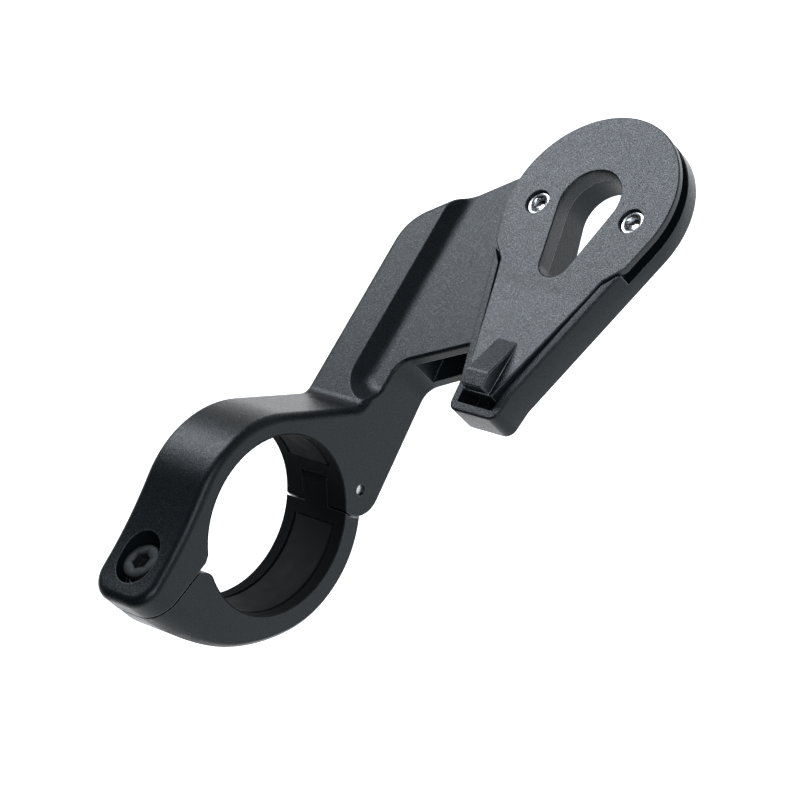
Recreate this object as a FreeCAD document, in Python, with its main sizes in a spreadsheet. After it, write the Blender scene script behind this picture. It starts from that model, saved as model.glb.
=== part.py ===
"""Out-front mount for a bike computer: a hinged bar clamp, an offset arm and a latching rail."""

import FreeCAD
import Part
import Sketcher
import math
import os

doc = FreeCAD.newDocument("bike_computer_mount")

# Frame: origin on the bar's axis at the middle of the clamp.
# +X runs along the bar to the platform's side, +Y ahead and +Z up.
# All sizes are in millimetres and degrees.
SIZES = (
    ("bar_diameter", 31.8),
    ("clamp_width", 15.0),
    ("clamp_wall", 3.6),
    ("jaw_wall", 4.5),
    ("boss_beyond", 7.3),
    ("boss_corner", 5.0),
    ("boss_slope", 12.0),
    ("boss_dip", 80.0),
    ("boss_floor", 2.1),
    ("bolt_beyond", 3.0),
    ("bolt_up", 11.3),
    ("bolt_tilt", 10.0),
    ("bolt_diameter", 4.0),
    ("bolt_length", 8.0),
    ("bolt_head_diameter", 6.8),
    ("bolt_head_height", 2.6),
    ("bolt_key_width", 3.0),
    ("bolt_key_depth", 1.7),
    ("bolt_play", 0.25),
    ("washer_diameter", 7.4),
    ("washer_thickness", 0.6),
    ("bolt_pocket_width", 8.4),
    ("bolt_pocket_length", 9.7),
    ("nut_width", 7.0),
    ("nut_thickness", 3.2),
    ("nut_depth", 2.2),
    ("nut_play", 0.05),
    ("parting_gap", 0.4),
    ("jaw_tail_angle", 50.0),
    ("hinge_beyond", 3.8),
    ("hinge_angle", 42.0),
    ("ear_radius", 4.7),
    ("knuckle_radius", 4.3),
    ("knuckle_width", 6.0),
    ("hinge_play", 0.35),
    ("pin_diameter", 2.0),
    ("pin_play", 0.03),
    ("pin_recess", 0.6),
    ("pad_thickness", 0.9),
    ("pad_width", 9.0),
    ("pad_seat_width", 10.6),
    ("pad_play", 0.02),
    ("pad_end_play", 1.0),
    ("upper_pad_start", -22.0),
    ("upper_pad_end", 128.0),
    ("lower_pad_start", 155.0),
    ("lower_pad_end", 298.0),
    ("spine_drop", 3.4),
    ("saddle_angle", 34.0),
    ("spine_blend", 3.0),
    ("keel_slope", 7.0),
    ("step_line", 0.45),
    ("step_ahead", 6.0),
    ("step_radius", 6.1),
    ("wing_sink", 0.05),
    ("step_run", 3.0),
    ("front_ahead", 35.8),
    ("front_angle", 36.5),
    ("front_radius", 9.0),
    ("rear_ahead", 9.3),
    ("rear_angle", 26.6),
    ("rear_radius", 4.0),
    ("skin", 2.0),
    ("platform_right", 31.6),
    ("platform_ahead", 71.1),
    ("plate_top", -2.15),
    ("plate_radius", 17.5),
    ("plate_centre", 2.0),
    ("plate_thickness", 1.3),
    ("rail_height", 2.0),
    ("rail_depth", 2.2),
    ("base_thickness", 3.6),
    ("base_rear", 41.3),
    ("tail_length", 5.3),
    ("base_tail_half", 5.7),
    ("tail_step", 0.36),
    ("tail_radius", 2.0),
    ("rim_wall", 1.6),
    ("rim_drop", 0.2),
    ("rail_stop", 8.9),
    ("well_depth", 1.9),
    ("tongue_gap", 0.45),
    ("tongue_root", 16.6),
    ("tongue_short", 3.6),
    ("tongue_thickness", 1.8),
    ("tongue_lift", 1.0),
    ("tongue_play", 0.05),
    ("tab_inset", 0.1),
    ("tab_ramp", 7.9),
    ("tab_top", 2.8),
    ("tab_rise", 2.55),
    ("tab_width", 5.0),
    ("tab_foot", 6.2),
    ("key_wide_radius", 6.2),
    ("key_wide_centre", 2.2),
    ("key_narrow_radius", 3.25),
    ("key_narrow_centre", 10.2),
    ("screw_spacing", 21.5),
    ("screw_diameter", 2.5),
    ("screw_head_diameter", 4.6),
    ("screw_head_depth", 1.5),
    ("screw_sink", 0.6),
    ("screw_length", 5.1),
    ("screw_key_width", 2.0),
    ("insert_diameter", 4.2),
    ("insert_length", 2.6),
    ("screw_play", 0.05),
    ("crown_round", 1.6),
    ("step_round", 4.0),
    ("wing_round", 0.6),
    ("base_bevel", 0.7),
    ("rim_bevel", 0.35),
    ("jaw_bevel", 1.0),
    ("mouth_bevel", 0.8),
    ("mouth_round", 2.4),
    ("plate_bevel", 0.3),
    ("tongue_bevel", 0.25),
)

sizes = doc.addObject("Spreadsheet::Sheet", "Sizes")
for row, (alias, number) in enumerate(SIZES, start=1):
    sizes.set("A%d" % row, alias)
    sizes.set("B%d" % row, str(number))
    sizes.setAlias("B%d" % row, alias)
doc.recompute()

VECTOR = FreeCAD.Vector
UP = VECTOR(0, 0, 1)
ALIASES = {alias for alias, number in SIZES}

# Sizes that follow from the ones in the sheet.
FOLLOWING = {
    "bolt_back": "bar_diameter / 2 + bolt_beyond",
    "boss_reach": "bolt_back + boss_beyond",
    "hinge_reach": "bar_diameter / 2 + hinge_beyond",
    "hinge_ahead": "hinge_reach * cos(hinge_angle)",
    "hinge_below": "hinge_reach * sin(hinge_angle)",
    "ring_radius": "bar_diameter / 2 + clamp_wall",
    "saddle_foot": "(ring_radius + spine_drop * sin(saddle_angle)) / cos(saddle_angle)",
    "blend_run": "spine_blend * tan((90 - saddle_angle) / 2)",
    "arm_root": "saddle_foot + blend_run",
    "step_back": "arm_root + step_ahead",
    "front_corner": "arm_root + front_ahead",
    "rear_corner": "arm_root + rear_ahead",
    "base_top": "plate_top - plate_thickness - rail_height",
    "wing_drop": "-spine_drop - base_top + wing_sink",
    "base_tail": "base_rear - tail_length",
    "tail_run": "base_tail + plate_centre",
    "tail_wide": "base_tail_half + tail_step",
    "plate_flank": "asin(plate_radius / sqrt(tail_run ^ 2 + tail_wide ^ 2)) - atan(tail_wide / tail_run)",
    "tongue_end": "base_rear - tongue_short",
    "tab_start": "tongue_end - tab_inset - tab_top - tab_ramp",
}


def named(expression):
    """Put the sheet's name in front of each size that an expression uses."""
    words = []
    word = ""
    for letter in expression + " ":
        if letter.isalnum() or letter in "_.":
            word += letter
            continue
        if word in FOLLOWING:
            words.append("(" + named(FOLLOWING[word]) + ")")
        else:
            words.append("Sizes." + word if word in ALIASES else word)
        words.append(letter)
        word = ""
    return "".join(words).strip()


def value(expression):
    """Give the number that an expression of sizes stands for."""
    answer = sizes.evalExpression(named(expression))
    return float(getattr(answer, "Value", answer))


def add_body(label):
    """Start one moulded or machined piece."""
    body = doc.addObject("PartDesign::Body", label)
    body.Label = label
    return body


def add_sketch(body, name, plane, at=("0", "0", "0"), tilt=None):
    """Open a sketch on one of the body's planes, moved by at along its axes and tilted about the first."""
    sketch = body.newObject("Sketcher::SketchObject", name)
    support = [item for item in body.Origin.OriginFeatures if item.Role == plane][0]
    sketch.AttachmentSupport = [(support, "")]
    sketch.MapMode = "FlatFace"
    if tilt:
        turn = FreeCAD.Rotation(VECTOR(-1, 0, 0), value(tilt))
        sketch.AttachmentOffset = FreeCAD.Placement(VECTOR(), turn)
        sketch.setExpression("AttachmentOffset.Rotation.Angle", named(tilt))
    for axis, shift in zip("xyz", at):
        if shift != "0":
            sketch.setExpression("AttachmentOffset.Base." + axis, named(shift))
    doc.recompute()
    return sketch


def hold(sketch, kind, geometry, spot, expression, name):
    """Fix one coordinate of a corner to an expression of sizes."""
    number = value(expression)
    index = sketch.addConstraint(Sketcher.Constraint(kind, -1, 1, geometry, spot, number))
    sketch.renameConstraint(index, name)
    sketch.setExpression("Constraints." + name, named(expression))


def draw(sketch, corners):
    """Close an outline through corners.

    A corner is (x, y), or (x, y, radius, turn) where an arc leaves it that turns left or right.
    """
    spots = [VECTOR(value(corner[0]), value(corner[1]), 0) for corner in corners]
    count = sketch.ConstraintCount
    stretches = []
    for number, corner in enumerate(corners):
        here = spots[number]
        there = spots[(number + 1) % len(spots)]
        if len(corner) == 2:
            index = sketch.addGeometry(Part.LineSegment(here, there), False)
            stretches.append((index, 1, 2))
            continue
        radius = value(corner[2])
        chord = there - here
        rise = math.sqrt(max(radius * radius - chord.Length * chord.Length / 4, 0.0))
        left = VECTOR(-chord.y, chord.x, 0).normalize()
        side = 1 if corner[3] == "left" else -1
        centre = here + chord * 0.5 + left * rise * side
        first, last = (here, there) if corner[3] == "left" else (there, here)
        start = math.atan2(first.y - centre.y, first.x - centre.x)
        end = math.atan2(last.y - centre.y, last.x - centre.x)
        index = sketch.addGeometry(Part.ArcOfCircle(Part.Circle(centre, UP, radius), start, end), False)
        stretches.append((index, 1, 2) if corner[3] == "left" else (index, 2, 1))
    for number, (index, begin, end) in enumerate(stretches):
        following = stretches[(number + 1) % len(stretches)]
        sketch.addConstraint(Sketcher.Constraint("Coincident", index, end, following[0], following[1]))
    for number, (index, begin, end) in enumerate(stretches):
        tag = "%d_%d" % (count, number)
        hold(sketch, "DistanceX", index, begin, corners[number][0], "x" + tag)
        hold(sketch, "DistanceY", index, begin, corners[number][1], "y" + tag)
        if len(corners[number]) == 4 and not half_turn(corners, spots, number):
            bend = sketch.addConstraint(Sketcher.Constraint("Radius", index, value(corners[number][2])))
            sketch.renameConstraint(bend, "r" + tag)
            sketch.setExpression("Constraints.r" + tag, named(corners[number][2]))
        elif len(corners[number]) == 4:
            sketch.addConstraint(Sketcher.Constraint("Symmetric", index, 1, index, 2, index, 3))
    doc.recompute()


def half_turn(corners, spots, number):
    """Tell whether an arc is a full half circle, whose centre lies midway between its ends."""
    chord = (spots[(number + 1) % len(spots)] - spots[number]).Length
    return abs(chord - 2 * value(corners[number][2])) < 1e-6


def ring(sketch, x, y, radius):
    """Draw a full circle."""
    index = sketch.addGeometry(Part.Circle(VECTOR(value(x), value(y), 0), UP, value(radius)), False)
    tag = "%d" % sketch.ConstraintCount
    hold(sketch, "DistanceX", index, 3, x, "x" + tag)
    hold(sketch, "DistanceY", index, 3, y, "y" + tag)
    bend = sketch.addConstraint(Sketcher.Constraint("Radius", index, value(radius)))
    sketch.renameConstraint(bend, "r" + tag)
    sketch.setExpression("Constraints.r" + tag, named(radius))
    doc.recompute()


def grow(body, kind, name, sketch, length, side="One side", back=False, taper=None):
    """Pad or pocket a sketch, and stop where the feature changes nothing."""
    before = body.Shape.Volume if not body.Shape.isNull() else 0.0
    feature = body.newObject("PartDesign::" + kind, name)
    feature.Profile = sketch
    feature.SideType = side
    feature.Reversed = back
    feature.setExpression("Length", named(length))
    if taper:
        feature.setExpression("TaperAngle", named(taper))
    sketch.Visibility = False
    doc.recompute()
    change = body.Shape.Volume - before
    if (change > 0) != (kind == "Pad") or abs(change) < 1e-3:
        raise RuntimeError("%s changes the volume by %.3f" % (name, change))
    return feature


def edges_where(shape, test):
    """Name the edges whose middle and length pass a test."""
    names = []
    for number, edge in enumerate(shape.Edges, start=1):
        middle = edge.valueAt((edge.FirstParameter + edge.LastParameter) / 2)
        if test(edge, middle):
            names.append("Edge%d" % number)
    return names


def soften(body, kind, name, size, test):
    """Round or bevel the edges that pass a test."""
    base = body.Tip
    names = edges_where(base.Shape, test)
    if not names:
        raise RuntimeError(name + " finds no edge")
    feature = body.newObject("PartDesign::" + kind, name)
    feature.Base = (base, names)
    feature.setExpression("Radius" if kind == "Fillet" else "Size", named(size))
    doc.recompute()
    if "Invalid" in feature.State or feature.Shape.isNull() or not feature.Shape.isValid():
        raise RuntimeError(name + " fails on %s" % names)
    return feature


# Expressions that several pieces share.
BORE = "(bar_diameter / 2)"
RING = "ring_radius"
HALF = "(clamp_width / 2)"
BLEND_Y = "arm_root"
BLEND_START = ("saddle_foot - blend_run * sin(saddle_angle)", "blend_run * cos(saddle_angle) - spine_drop")
KEEL_Y = "(hinge_ahead + ear_radius * sin(keel_slope))"
KEEL_Z = "(-hinge_below - ear_radius * cos(keel_slope))"
BASE_TOP = "base_top"
SHOULDER = "(ear_radius + hinge_play)"


def parting(y, below="0"):
    """Height of the parting plane at y, which lies square to the clamp bolt."""
    return "(bolt_up - (bolt_back + (%s)) * tan(bolt_tilt) - (%s) / cos(bolt_tilt))" % (y, below)


def keel(y):
    """Height of the arm's underside at y."""
    return "(%s + ((%s) - %s) * tan(keel_slope))" % (KEEL_Z, y, KEEL_Y)


def flank(y, inset="0"):
    """Half width of the platform's straight flank at y behind its middle, moved in by inset."""
    reach = "plate_radius - (%s)" % inset
    return "((%s + ((%s) - plate_centre) * sin(plate_flank)) / cos(plate_flank))" % (reach, y)


def polar(radius, angle, x="0", y="0"):
    """Corner at a radius and an angle about a point."""
    return "(%s) + (%s) * cos(%s)" % (x, radius, angle), "(%s) + (%s) * sin(%s)" % (y, radius, angle)


def round_end(body):
    """Trim the bolt boss in plan to a straight end with round corners."""
    sketch = add_sketch(body, "boss_end", "XY_Plane")
    flat = "(%s - boss_corner)" % HALF
    start = "-(boss_reach - boss_corner)"
    draw(sketch, (
        (HALF, start, "boss_corner", "right"),
        (flat, "-boss_reach"),
        ("-" + flat, "-boss_reach", "boss_corner", "right"),
        ("-" + HALF, start),
        ("-(%s + 2)" % HALF, start),
        ("-(%s + 2)" % HALF, "-(boss_reach + 4)"),
        ("%s + 2" % HALF, "-(boss_reach + 4)"),
        ("%s + 2" % HALF, start),
    ))
    grow(body, "Pocket", "round_end", sketch, "4 * boss_reach", side="Symmetric")


def bore_through(body):
    """Open the bar's bore."""
    sketch = add_sketch(body, "bore_circle", "YZ_Plane")
    ring(sketch, "0", "0", BORE)
    grow(body, "Pocket", "bore", sketch, "clamp_width + 2", side="Symmetric")


def at_mouth(edge, middle):
    """Tell whether an edge is the one where the bore meets the parting plane beside the bolt."""
    in_bore = abs(math.hypot(middle.y, middle.z) - value(BORE)) < 0.01
    return in_bore and abs(middle.x) < 0.01 and middle.z > 0


def pad_seat(body, start, end):
    """Recess in the bore that takes a grip pad between two angles."""
    sketch = add_sketch(body, "pad_seat_outline", "YZ_Plane")
    sector(sketch, "bar_diameter / 2 - 1", "bar_diameter / 2 + pad_thickness", start, end)
    grow(body, "Pocket", "pad_seat", sketch, "pad_seat_width", side="Symmetric")


def sector(sketch, inner, outer, start, end):
    """Draw a ring sector that sweeps less than a half turn."""
    draw(sketch, (
        polar(outer, start) + (outer, "left"),
        polar(outer, end),
        polar(inner, end) + (inner, "right"),
        polar(inner, start),
    ))


# The boss's top dips in a wide hollow arc that leaves the ring smoothly.
DIP_Y = "((%s + boss_dip) * sin(boss_slope))" % RING
DIP_Z = "((%s + boss_dip) * cos(boss_slope))" % RING
BOSS_TOP = "%s - sqrt(boss_dip ^ 2 - (boss_reach + 1 - %s) ^ 2)" % (DIP_Z, DIP_Y)

# The upper half of the clamp is padded from its side view.
# The boss is behind, the ears are below, and a straight saddle falls from the ring to the spine.
arm = add_body("arm_body")
side = add_sketch(arm, "clamp_side", "YZ_Plane")
draw(side, (
    ("-(boss_reach + 1)", parting("-(boss_reach + 1)")),
    ("-(boss_reach + 1)", BOSS_TOP, "boss_dip", "left"),
    ("-%s * sin(boss_slope)" % RING, "%s * cos(boss_slope)" % RING, RING, "right"),
    polar(RING, "saddle_angle"),
    BLEND_START + ("spine_blend", "left"),
    (BLEND_Y, "-spine_drop"),
    ("%s + 2" % BLEND_Y, "-spine_drop"),
    ("%s + 2" % BLEND_Y, keel("%s + 2" % BLEND_Y)),
    (KEEL_Y, KEEL_Z, "ear_radius", "right"),
    polar("ear_radius", "150", "hinge_ahead", "-hinge_below"),
    ("-0.6 * %s" % BORE, parting("-0.6 * %s" % BORE)),
))
grow(arm, "Pad", "clamp_half", side, "clamp_width", side="Symmetric")
round_end(arm)

# The arm in plan: the spine along the left, the slanted front and rear edges of the wing,
# and its end under the keyhole.
FRONT_RUN = "(front_radius * tan((90 - front_angle) / 2))"
REAR_RUN = "(rear_radius * tan((90 - rear_angle) / 2))"
REAR_BEND = polar(REAR_RUN, "rear_angle", HALF, "rear_corner")
plan = add_sketch(arm, "arm_plan", "XY_Plane", at=("0", "0", "-spine_drop"))
draw(plan, (
    ("-" + HALF, "hinge_ahead + 10"),
    ("-" + HALF, "front_corner - " + FRONT_RUN, "front_radius", "right"),
    ("%s * cos(front_angle) - %s" % (FRONT_RUN, HALF), "front_corner + %s * sin(front_angle)" % FRONT_RUN),
    ("platform_right - 14", "front_corner + (platform_right - 14 + %s) * tan(front_angle)" % HALF),
    ("platform_right", "platform_ahead + key_wide_centre + key_wide_radius + 5"),
    ("platform_right + key_wide_radius + 5", "platform_ahead + key_wide_centre"),
    ("platform_right - 7", "rear_corner + (platform_right - 7 - %s) * tan(rear_angle)" % HALF),
    REAR_BEND + ("rear_radius", "left"),
    (HALF, "rear_corner - " + REAR_RUN),
    (HALF, "hinge_ahead + 10"),
))
grow(arm, "Pad", "arm_block", plan, "2 * (hinge_below - spine_drop)", back=True)

# The underside rises forward in one plane from the hinge ears.
under = add_sketch(arm, "keel_side", "YZ_Plane")
draw(under, (
    (KEEL_Y, KEEL_Z),
    ("2 * platform_ahead", keel("2 * platform_ahead")),
    ("2 * platform_ahead", "-3 * hinge_below"),
    (KEEL_Y, "-3 * hinge_below"),
))
grow(arm, "Pocket", "keel", under, "4 * platform_right", side="Symmetric")

# One round runs along the top edges of the boss, the ring, the blend and the spine.
soften(arm, "Fillet", "crown_edge", "crown_round", lambda edge, middle: (
    abs(middle.x) > value(HALF) - 0.01 and value("-spine_drop") - 0.01 < middle.z
    and math.hypot(middle.y, middle.z) > value(RING) - 0.1
    and middle.y < value("front_corner") and (middle.z > value(BORE) or middle.y > 0)
))

# The wing lies one step lower than the spine.
# The step is a slanted wall that turns round to the clamp's face.
RISE = "1"
SPREAD = "(step_run / wing_drop)"
DISH_REAR = "step_back - step_radius - " + SPREAD
dish = add_sketch(arm, "wing_step", "XY_Plane", at=("0", "0", "-spine_drop + " + RISE))
draw(dish, (
    ("step_line + step_radius", DISH_REAR, "step_radius + " + SPREAD, "right"),
    ("step_line - " + SPREAD, "step_back"),
    ("step_line - " + SPREAD, "2 * platform_ahead"),
    ("3 * platform_right", "2 * platform_ahead"),
    ("3 * platform_right", DISH_REAR),
))
grow(arm, "Pocket", "wing_step_wall", dish, "wing_drop + " + RISE, taper="-atan(step_run / wing_drop)")

WING_TOP = "(-spine_drop - wing_drop)"
soften(arm, "Fillet", "step_foot", "step_round", lambda edge, middle: (
    abs(middle.z - value(WING_TOP)) < 0.01 and 0 < middle.x < value(HALF) - 0.05
))
soften(arm, "Fillet", "wing_rear_edge", "wing_round", lambda edge, middle: (
    abs(middle.z - value(WING_TOP)) < 0.01 and middle.x > value(HALF) - 0.05
    and middle.y < value("rear_corner + 12")
))
soften(arm, "Fillet", "wing_front_edge", "wing_round", lambda edge, middle: (
    abs(middle.z - value(WING_TOP)) < 0.01 and middle.x > value(HALF) - 0.05
    and middle.y > value("front_corner")
))

# The wing is hollow and open to the rear, between its top skin and the rising underside.
hollow = add_sketch(arm, "wing_hollow_side", "YZ_Plane", at=("0", "0", "%s + skin" % HALF))
draw(hollow, (
    ("rear_corner - 4", "-spine_drop - wing_drop - skin"),
    ("platform_ahead - base_rear / 2", "-spine_drop - wing_drop - skin"),
    ("platform_ahead - base_rear / 2", keel("platform_ahead - base_rear / 2") + " + 0.8 * skin"),
    ("rear_corner - 4", keel("rear_corner - 4") + " + 0.8 * skin"),
))
grow(arm, "Pocket", "wing_hollow", hollow, "platform_right - base_rear / 4 - skin - " + HALF, back=True)

# The platform's base is a round with straight flanks that narrow to a blunt tail.
PLATFORM = ("platform_right", "platform_ahead")


def platform_outline(sketch, inset="0", rear="base_rear"):
    """Draw the platform's outline, moved in by an inset."""
    radius = "(plate_radius - (%s))" % inset
    tangent_x = "%s * cos(plate_flank)" % radius
    tangent_y = "plate_centre - %s * sin(plate_flank)" % radius
    tail = "(base_tail_half - (%s))" % inset
    draw(sketch, (
        (tangent_x, tangent_y, radius, "left"),
        ("0", "plate_centre + " + radius, radius, "left"),
        ("-" + tangent_x, tangent_y),
        ("-" + flank("-base_tail", inset), "-base_tail"),
        ("-" + tail, "-(%s) + tail_radius" % rear, "tail_radius", "left"),
        ("-%s + tail_radius" % tail, "-(%s)" % rear),
        ("%s - tail_radius" % tail, "-(%s)" % rear, "tail_radius", "left"),
        (tail, "-(%s) + tail_radius" % rear),
        (flank("-base_tail", inset), "-base_tail"),
    ))


platform = add_body("platform_base")
base = add_sketch(platform, "base_outline", "XY_Plane", at=PLATFORM + (BASE_TOP,))
platform_outline(base)
grow(platform, "Pad", "base", base, "base_thickness", back=True)
soften(platform, "Chamfer", "base_edge", "base_bevel", lambda edge, middle: (
    abs(middle.z - value(BASE_TOP + " - base_thickness")) < 0.01
))
union = arm.newObject("PartDesign::Boolean", "platform_union")
union.Type = "Fuse"
union.setObjects([platform])
doc.recompute()

# A low rim stands round the tongue; its front ends follow the slanted stop of the rail.
RIM_TOP = "(plate_top - rim_drop)"
STOP = "(rail_stop + 1.2)"


def outside_rim(across, ahead):
    """Tell whether a point lies on the rim's outer edge rather than its inner one."""
    if ahead < value("-base_tail"):
        beside = across > value("base_tail_half - rim_wall / 2")
        return beside or ahead < value("-base_rear + rim_wall / 2")
    beside = across > value(flank("%f" % ahead)) - value("rim_wall / 3")
    return beside and ahead < value("-%s - 0.5" % STOP)


rim = add_sketch(arm, "rim_outline", "XY_Plane", at=PLATFORM + (BASE_TOP,))
REACH = "rim_wall + 1.2"
draw(rim, (
    ("-" + flank("-" + STOP), "-" + STOP),
    ("-" + flank("-base_tail"), "-base_tail"),
    ("-base_tail_half", "-base_rear + tail_radius", "tail_radius", "left"),
    ("-base_tail_half + tail_radius", "-base_rear"),
    ("base_tail_half - tail_radius", "-base_rear", "tail_radius", "left"),
    ("base_tail_half", "-base_rear + tail_radius"),
    (flank("-base_tail"), "-base_tail"),
    (flank("-" + STOP), "-" + STOP),
    (flank("-(%s + %s)" % (STOP, REACH), "rim_wall"), "-(%s + %s)" % (STOP, REACH)),
    (flank("-base_tail", "rim_wall"), "-base_tail"),
    ("base_tail_half - rim_wall", "-base_rear + rim_wall"),
    ("-(base_tail_half - rim_wall)", "-base_rear + rim_wall"),
    ("-" + flank("-base_tail", "rim_wall"), "-base_tail"),
    ("-" + flank("-(%s + %s)" % (STOP, REACH), "rim_wall"), "-(%s + %s)" % (STOP, REACH)),
))
grow(arm, "Pad", "rim", rim, "%s - %s" % (RIM_TOP, BASE_TOP))
soften(arm, "Chamfer", "rim_edge", "rim_bevel", lambda edge, middle: (
    abs(middle.z - value(RIM_TOP)) < 0.01 and middle.x > value("platform_right - plate_radius")
    and outside_rim(abs(middle.x - value("platform_right")), middle.y - value("platform_ahead"))
))

# The well under the tongue leaves it room to be pressed down.
well = add_sketch(arm, "well_outline", "XY_Plane", at=PLATFORM + (BASE_TOP,))
WELL_FRONT = "-(tongue_root - tongue_thickness)"
draw(well, (
    (flank(WELL_FRONT, "rim_wall"), WELL_FRONT),
    ("-" + flank(WELL_FRONT, "rim_wall"), WELL_FRONT),
    ("-" + flank("-base_tail", "rim_wall"), "-base_tail"),
    ("-(base_tail_half - rim_wall)", "-base_rear + rim_wall"),
    ("base_tail_half - rim_wall", "-base_rear + rim_wall"),
    (flank("-base_tail", "rim_wall"), "-base_tail"),
))
grow(arm, "Pocket", "well", well, "well_depth")


def keyhole(sketch, growth="0"):
    """Draw the keyhole: a wide round ahead and a narrow one behind, joined by common tangents."""
    wide = "(key_wide_radius + (%s))" % growth
    narrow = "(key_narrow_radius + (%s))" % growth
    lean = "asin((key_wide_radius - key_narrow_radius) / (key_wide_centre + key_narrow_centre))"
    draw(sketch, (
        polar(wide, "-" + lean, "0", "key_wide_centre") + (wide, "left"),
        ("0", "key_wide_centre + " + wide, wide, "left"),
        polar("-" + wide, lean, "0", "key_wide_centre"),
        polar("-" + narrow, lean, "0", "-key_narrow_centre") + (narrow, "left"),
        polar(narrow, "-" + lean, "0", "-key_narrow_centre"),
    ))


key = add_sketch(arm, "keyhole_outline", "XY_Plane", at=PLATFORM + (BASE_TOP,))
keyhole(key)
grow(arm, "Pocket", "keyhole", key, "2 * plate_radius", side="Symmetric")

# Blind seats for the two threaded inserts under the plate's screws.
seats = add_sketch(arm, "insert_seats", "XY_Plane", at=PLATFORM + (BASE_TOP,))
ring(seats, "screw_spacing / 2", "0", "insert_diameter / 2 + screw_play")
ring(seats, "-screw_spacing / 2", "0", "insert_diameter / 2 + screw_play")
grow(arm, "Pocket", "insert_holes", seats, "insert_length")

# The clamp: bore, pad recess, clevis slot, pin hole and the tilted bolt pocket.
bore_through(arm)
soften(arm, "Chamfer", "mouth_edge", "mouth_bevel", at_mouth)
pad_seat(arm, "upper_pad_start", "upper_pad_end")
clevis = add_sketch(arm, "clevis_side", "YZ_Plane")
draw(clevis, (
    ("hinge_ahead + " + SHOULDER, "-hinge_below", SHOULDER, "left"),
    ("hinge_ahead - " + SHOULDER, "-hinge_below"),
    ("hinge_ahead - " + SHOULDER, "-hinge_below - 3 * ear_radius"),
    ("hinge_ahead + " + SHOULDER, "-hinge_below - 3 * ear_radius"),
))
grow(arm, "Pocket", "clevis", clevis, "knuckle_width + 2 * hinge_play", side="Symmetric")
eye = add_sketch(arm, "pin_circle", "YZ_Plane")
ring(eye, "hinge_ahead", "-hinge_below", "pin_diameter / 2 + pin_play")
grow(arm, "Pocket", "pin_hole", eye, "clamp_width + 2", side="Symmetric")


def along_bolt(above):
    """Give the place on the bolt's axis that lies above the parting plane."""
    ahead = "-bolt_back + (%s) * sin(bolt_tilt)" % above
    return "0", ahead, "bolt_up + (%s) * cos(bolt_tilt)" % above


FLOOR = along_bolt("boss_floor")
oval = add_sketch(arm, "bolt_pocket_outline", "XY_Plane", at=FLOOR, tilt="bolt_tilt")
LONG = "((bolt_pocket_length - bolt_pocket_width) / 2)"
draw(oval, (
    ("bolt_pocket_width / 2", LONG, "bolt_pocket_width / 2", "left"),
    ("-bolt_pocket_width / 2", LONG),
    ("-bolt_pocket_width / 2", "-" + LONG, "bolt_pocket_width / 2", "left"),
    ("bolt_pocket_width / 2", "-" + LONG),
))
grow(arm, "Pocket", "bolt_pocket", oval, "2 * bolt_length", back=True)
shank = add_sketch(arm, "bolt_circle", "XY_Plane", at=FLOOR, tilt="bolt_tilt")
ring(shank, "0", "0", "bolt_diameter / 2 + bolt_play")
grow(arm, "Pocket", "bolt_hole", shank, "2 * boss_floor")

# The lower jaw hangs on the pin: a half ring whose tail rises to the lower boss.
jaw = add_body("lower_jaw")
JAW = "(bar_diameter / 2 + jaw_wall)"
TAIL_RADIUS = "((boss_reach - %s * cos(jaw_tail_angle)) / (1 - cos(jaw_tail_angle)))" % JAW
TAIL_Z = parting("-boss_reach", "parting_gap")
TAIL_RISE = "(%s - (%s - %s) * sin(jaw_tail_angle))" % (TAIL_Z, TAIL_RADIUS, JAW)
TAIL_RUN = "sqrt(%s ^ 2 - %s ^ 2)" % (TAIL_RADIUS, TAIL_RISE)
TAIL_Y = "((%s - %s) * cos(jaw_tail_angle) - %s)" % (TAIL_RADIUS, JAW, TAIL_RUN)
SQUARES = "(hinge_reach ^ 2 + %s ^ 2 - %s ^ 2)" % (JAW, SHOULDER)
CORNER = "acos(%s / (2 * hinge_reach * %s))" % (SQUARES, JAW)
HINGE_ANGLE = "-hinge_angle * 1 deg"
jaw_side = add_sketch(jaw, "jaw_side", "YZ_Plane")
draw(jaw_side, (
    polar(JAW, "180 + jaw_tail_angle") + (JAW, "left"),
    polar(JAW, "%s - %s" % (HINGE_ANGLE, CORNER)) + (SHOULDER, "right"),
    polar(SHOULDER, "165", "hinge_ahead", "-hinge_below"),
    ("-0.6 * %s" % BORE, parting("-0.6 * %s" % BORE, "parting_gap")),
    (TAIL_Y, TAIL_Z, TAIL_RADIUS, "left"),
))
grow(jaw, "Pad", "jaw_half", jaw_side, "clamp_width", side="Symmetric")
round_end(jaw)
soften(jaw, "Chamfer", "jaw_edge", "jaw_bevel", lambda edge, middle: (
    edge.Curve.TypeId == "Part::GeomCircle" and abs(middle.x) > value(HALF) - 0.01
    and math.hypot(middle.y, middle.z) > value(JAW) - 0.1
))
lug = add_sketch(jaw, "knuckle_side", "YZ_Plane")
LUG_FOOT = polar(JAW, "-75")
draw(lug, (
    LUG_FOOT,
    polar("knuckle_radius", "-77", "hinge_ahead", "-hinge_below") + ("knuckle_radius", "left"),
    polar("knuckle_radius", "80", "hinge_ahead", "-hinge_below") + ("knuckle_radius", "left"),
    polar("knuckle_radius", "150", "hinge_ahead", "-hinge_below"),
    polar("0.9 * " + BORE, "-75"),
))
grow(jaw, "Pad", "knuckle", lug, "knuckle_width", side="Symmetric")
bore_through(jaw)
soften(jaw, "Fillet", "mouth_edge", "mouth_round", at_mouth)
pad_seat(jaw, "lower_pad_start", "lower_pad_end")
jaw_eye = add_sketch(jaw, "pin_circle", "YZ_Plane")
ring(jaw_eye, "hinge_ahead", "-hinge_below", "pin_diameter / 2 + pin_play")
grow(jaw, "Pocket", "pin_hole", jaw_eye, "clamp_width", side="Symmetric")
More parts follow.
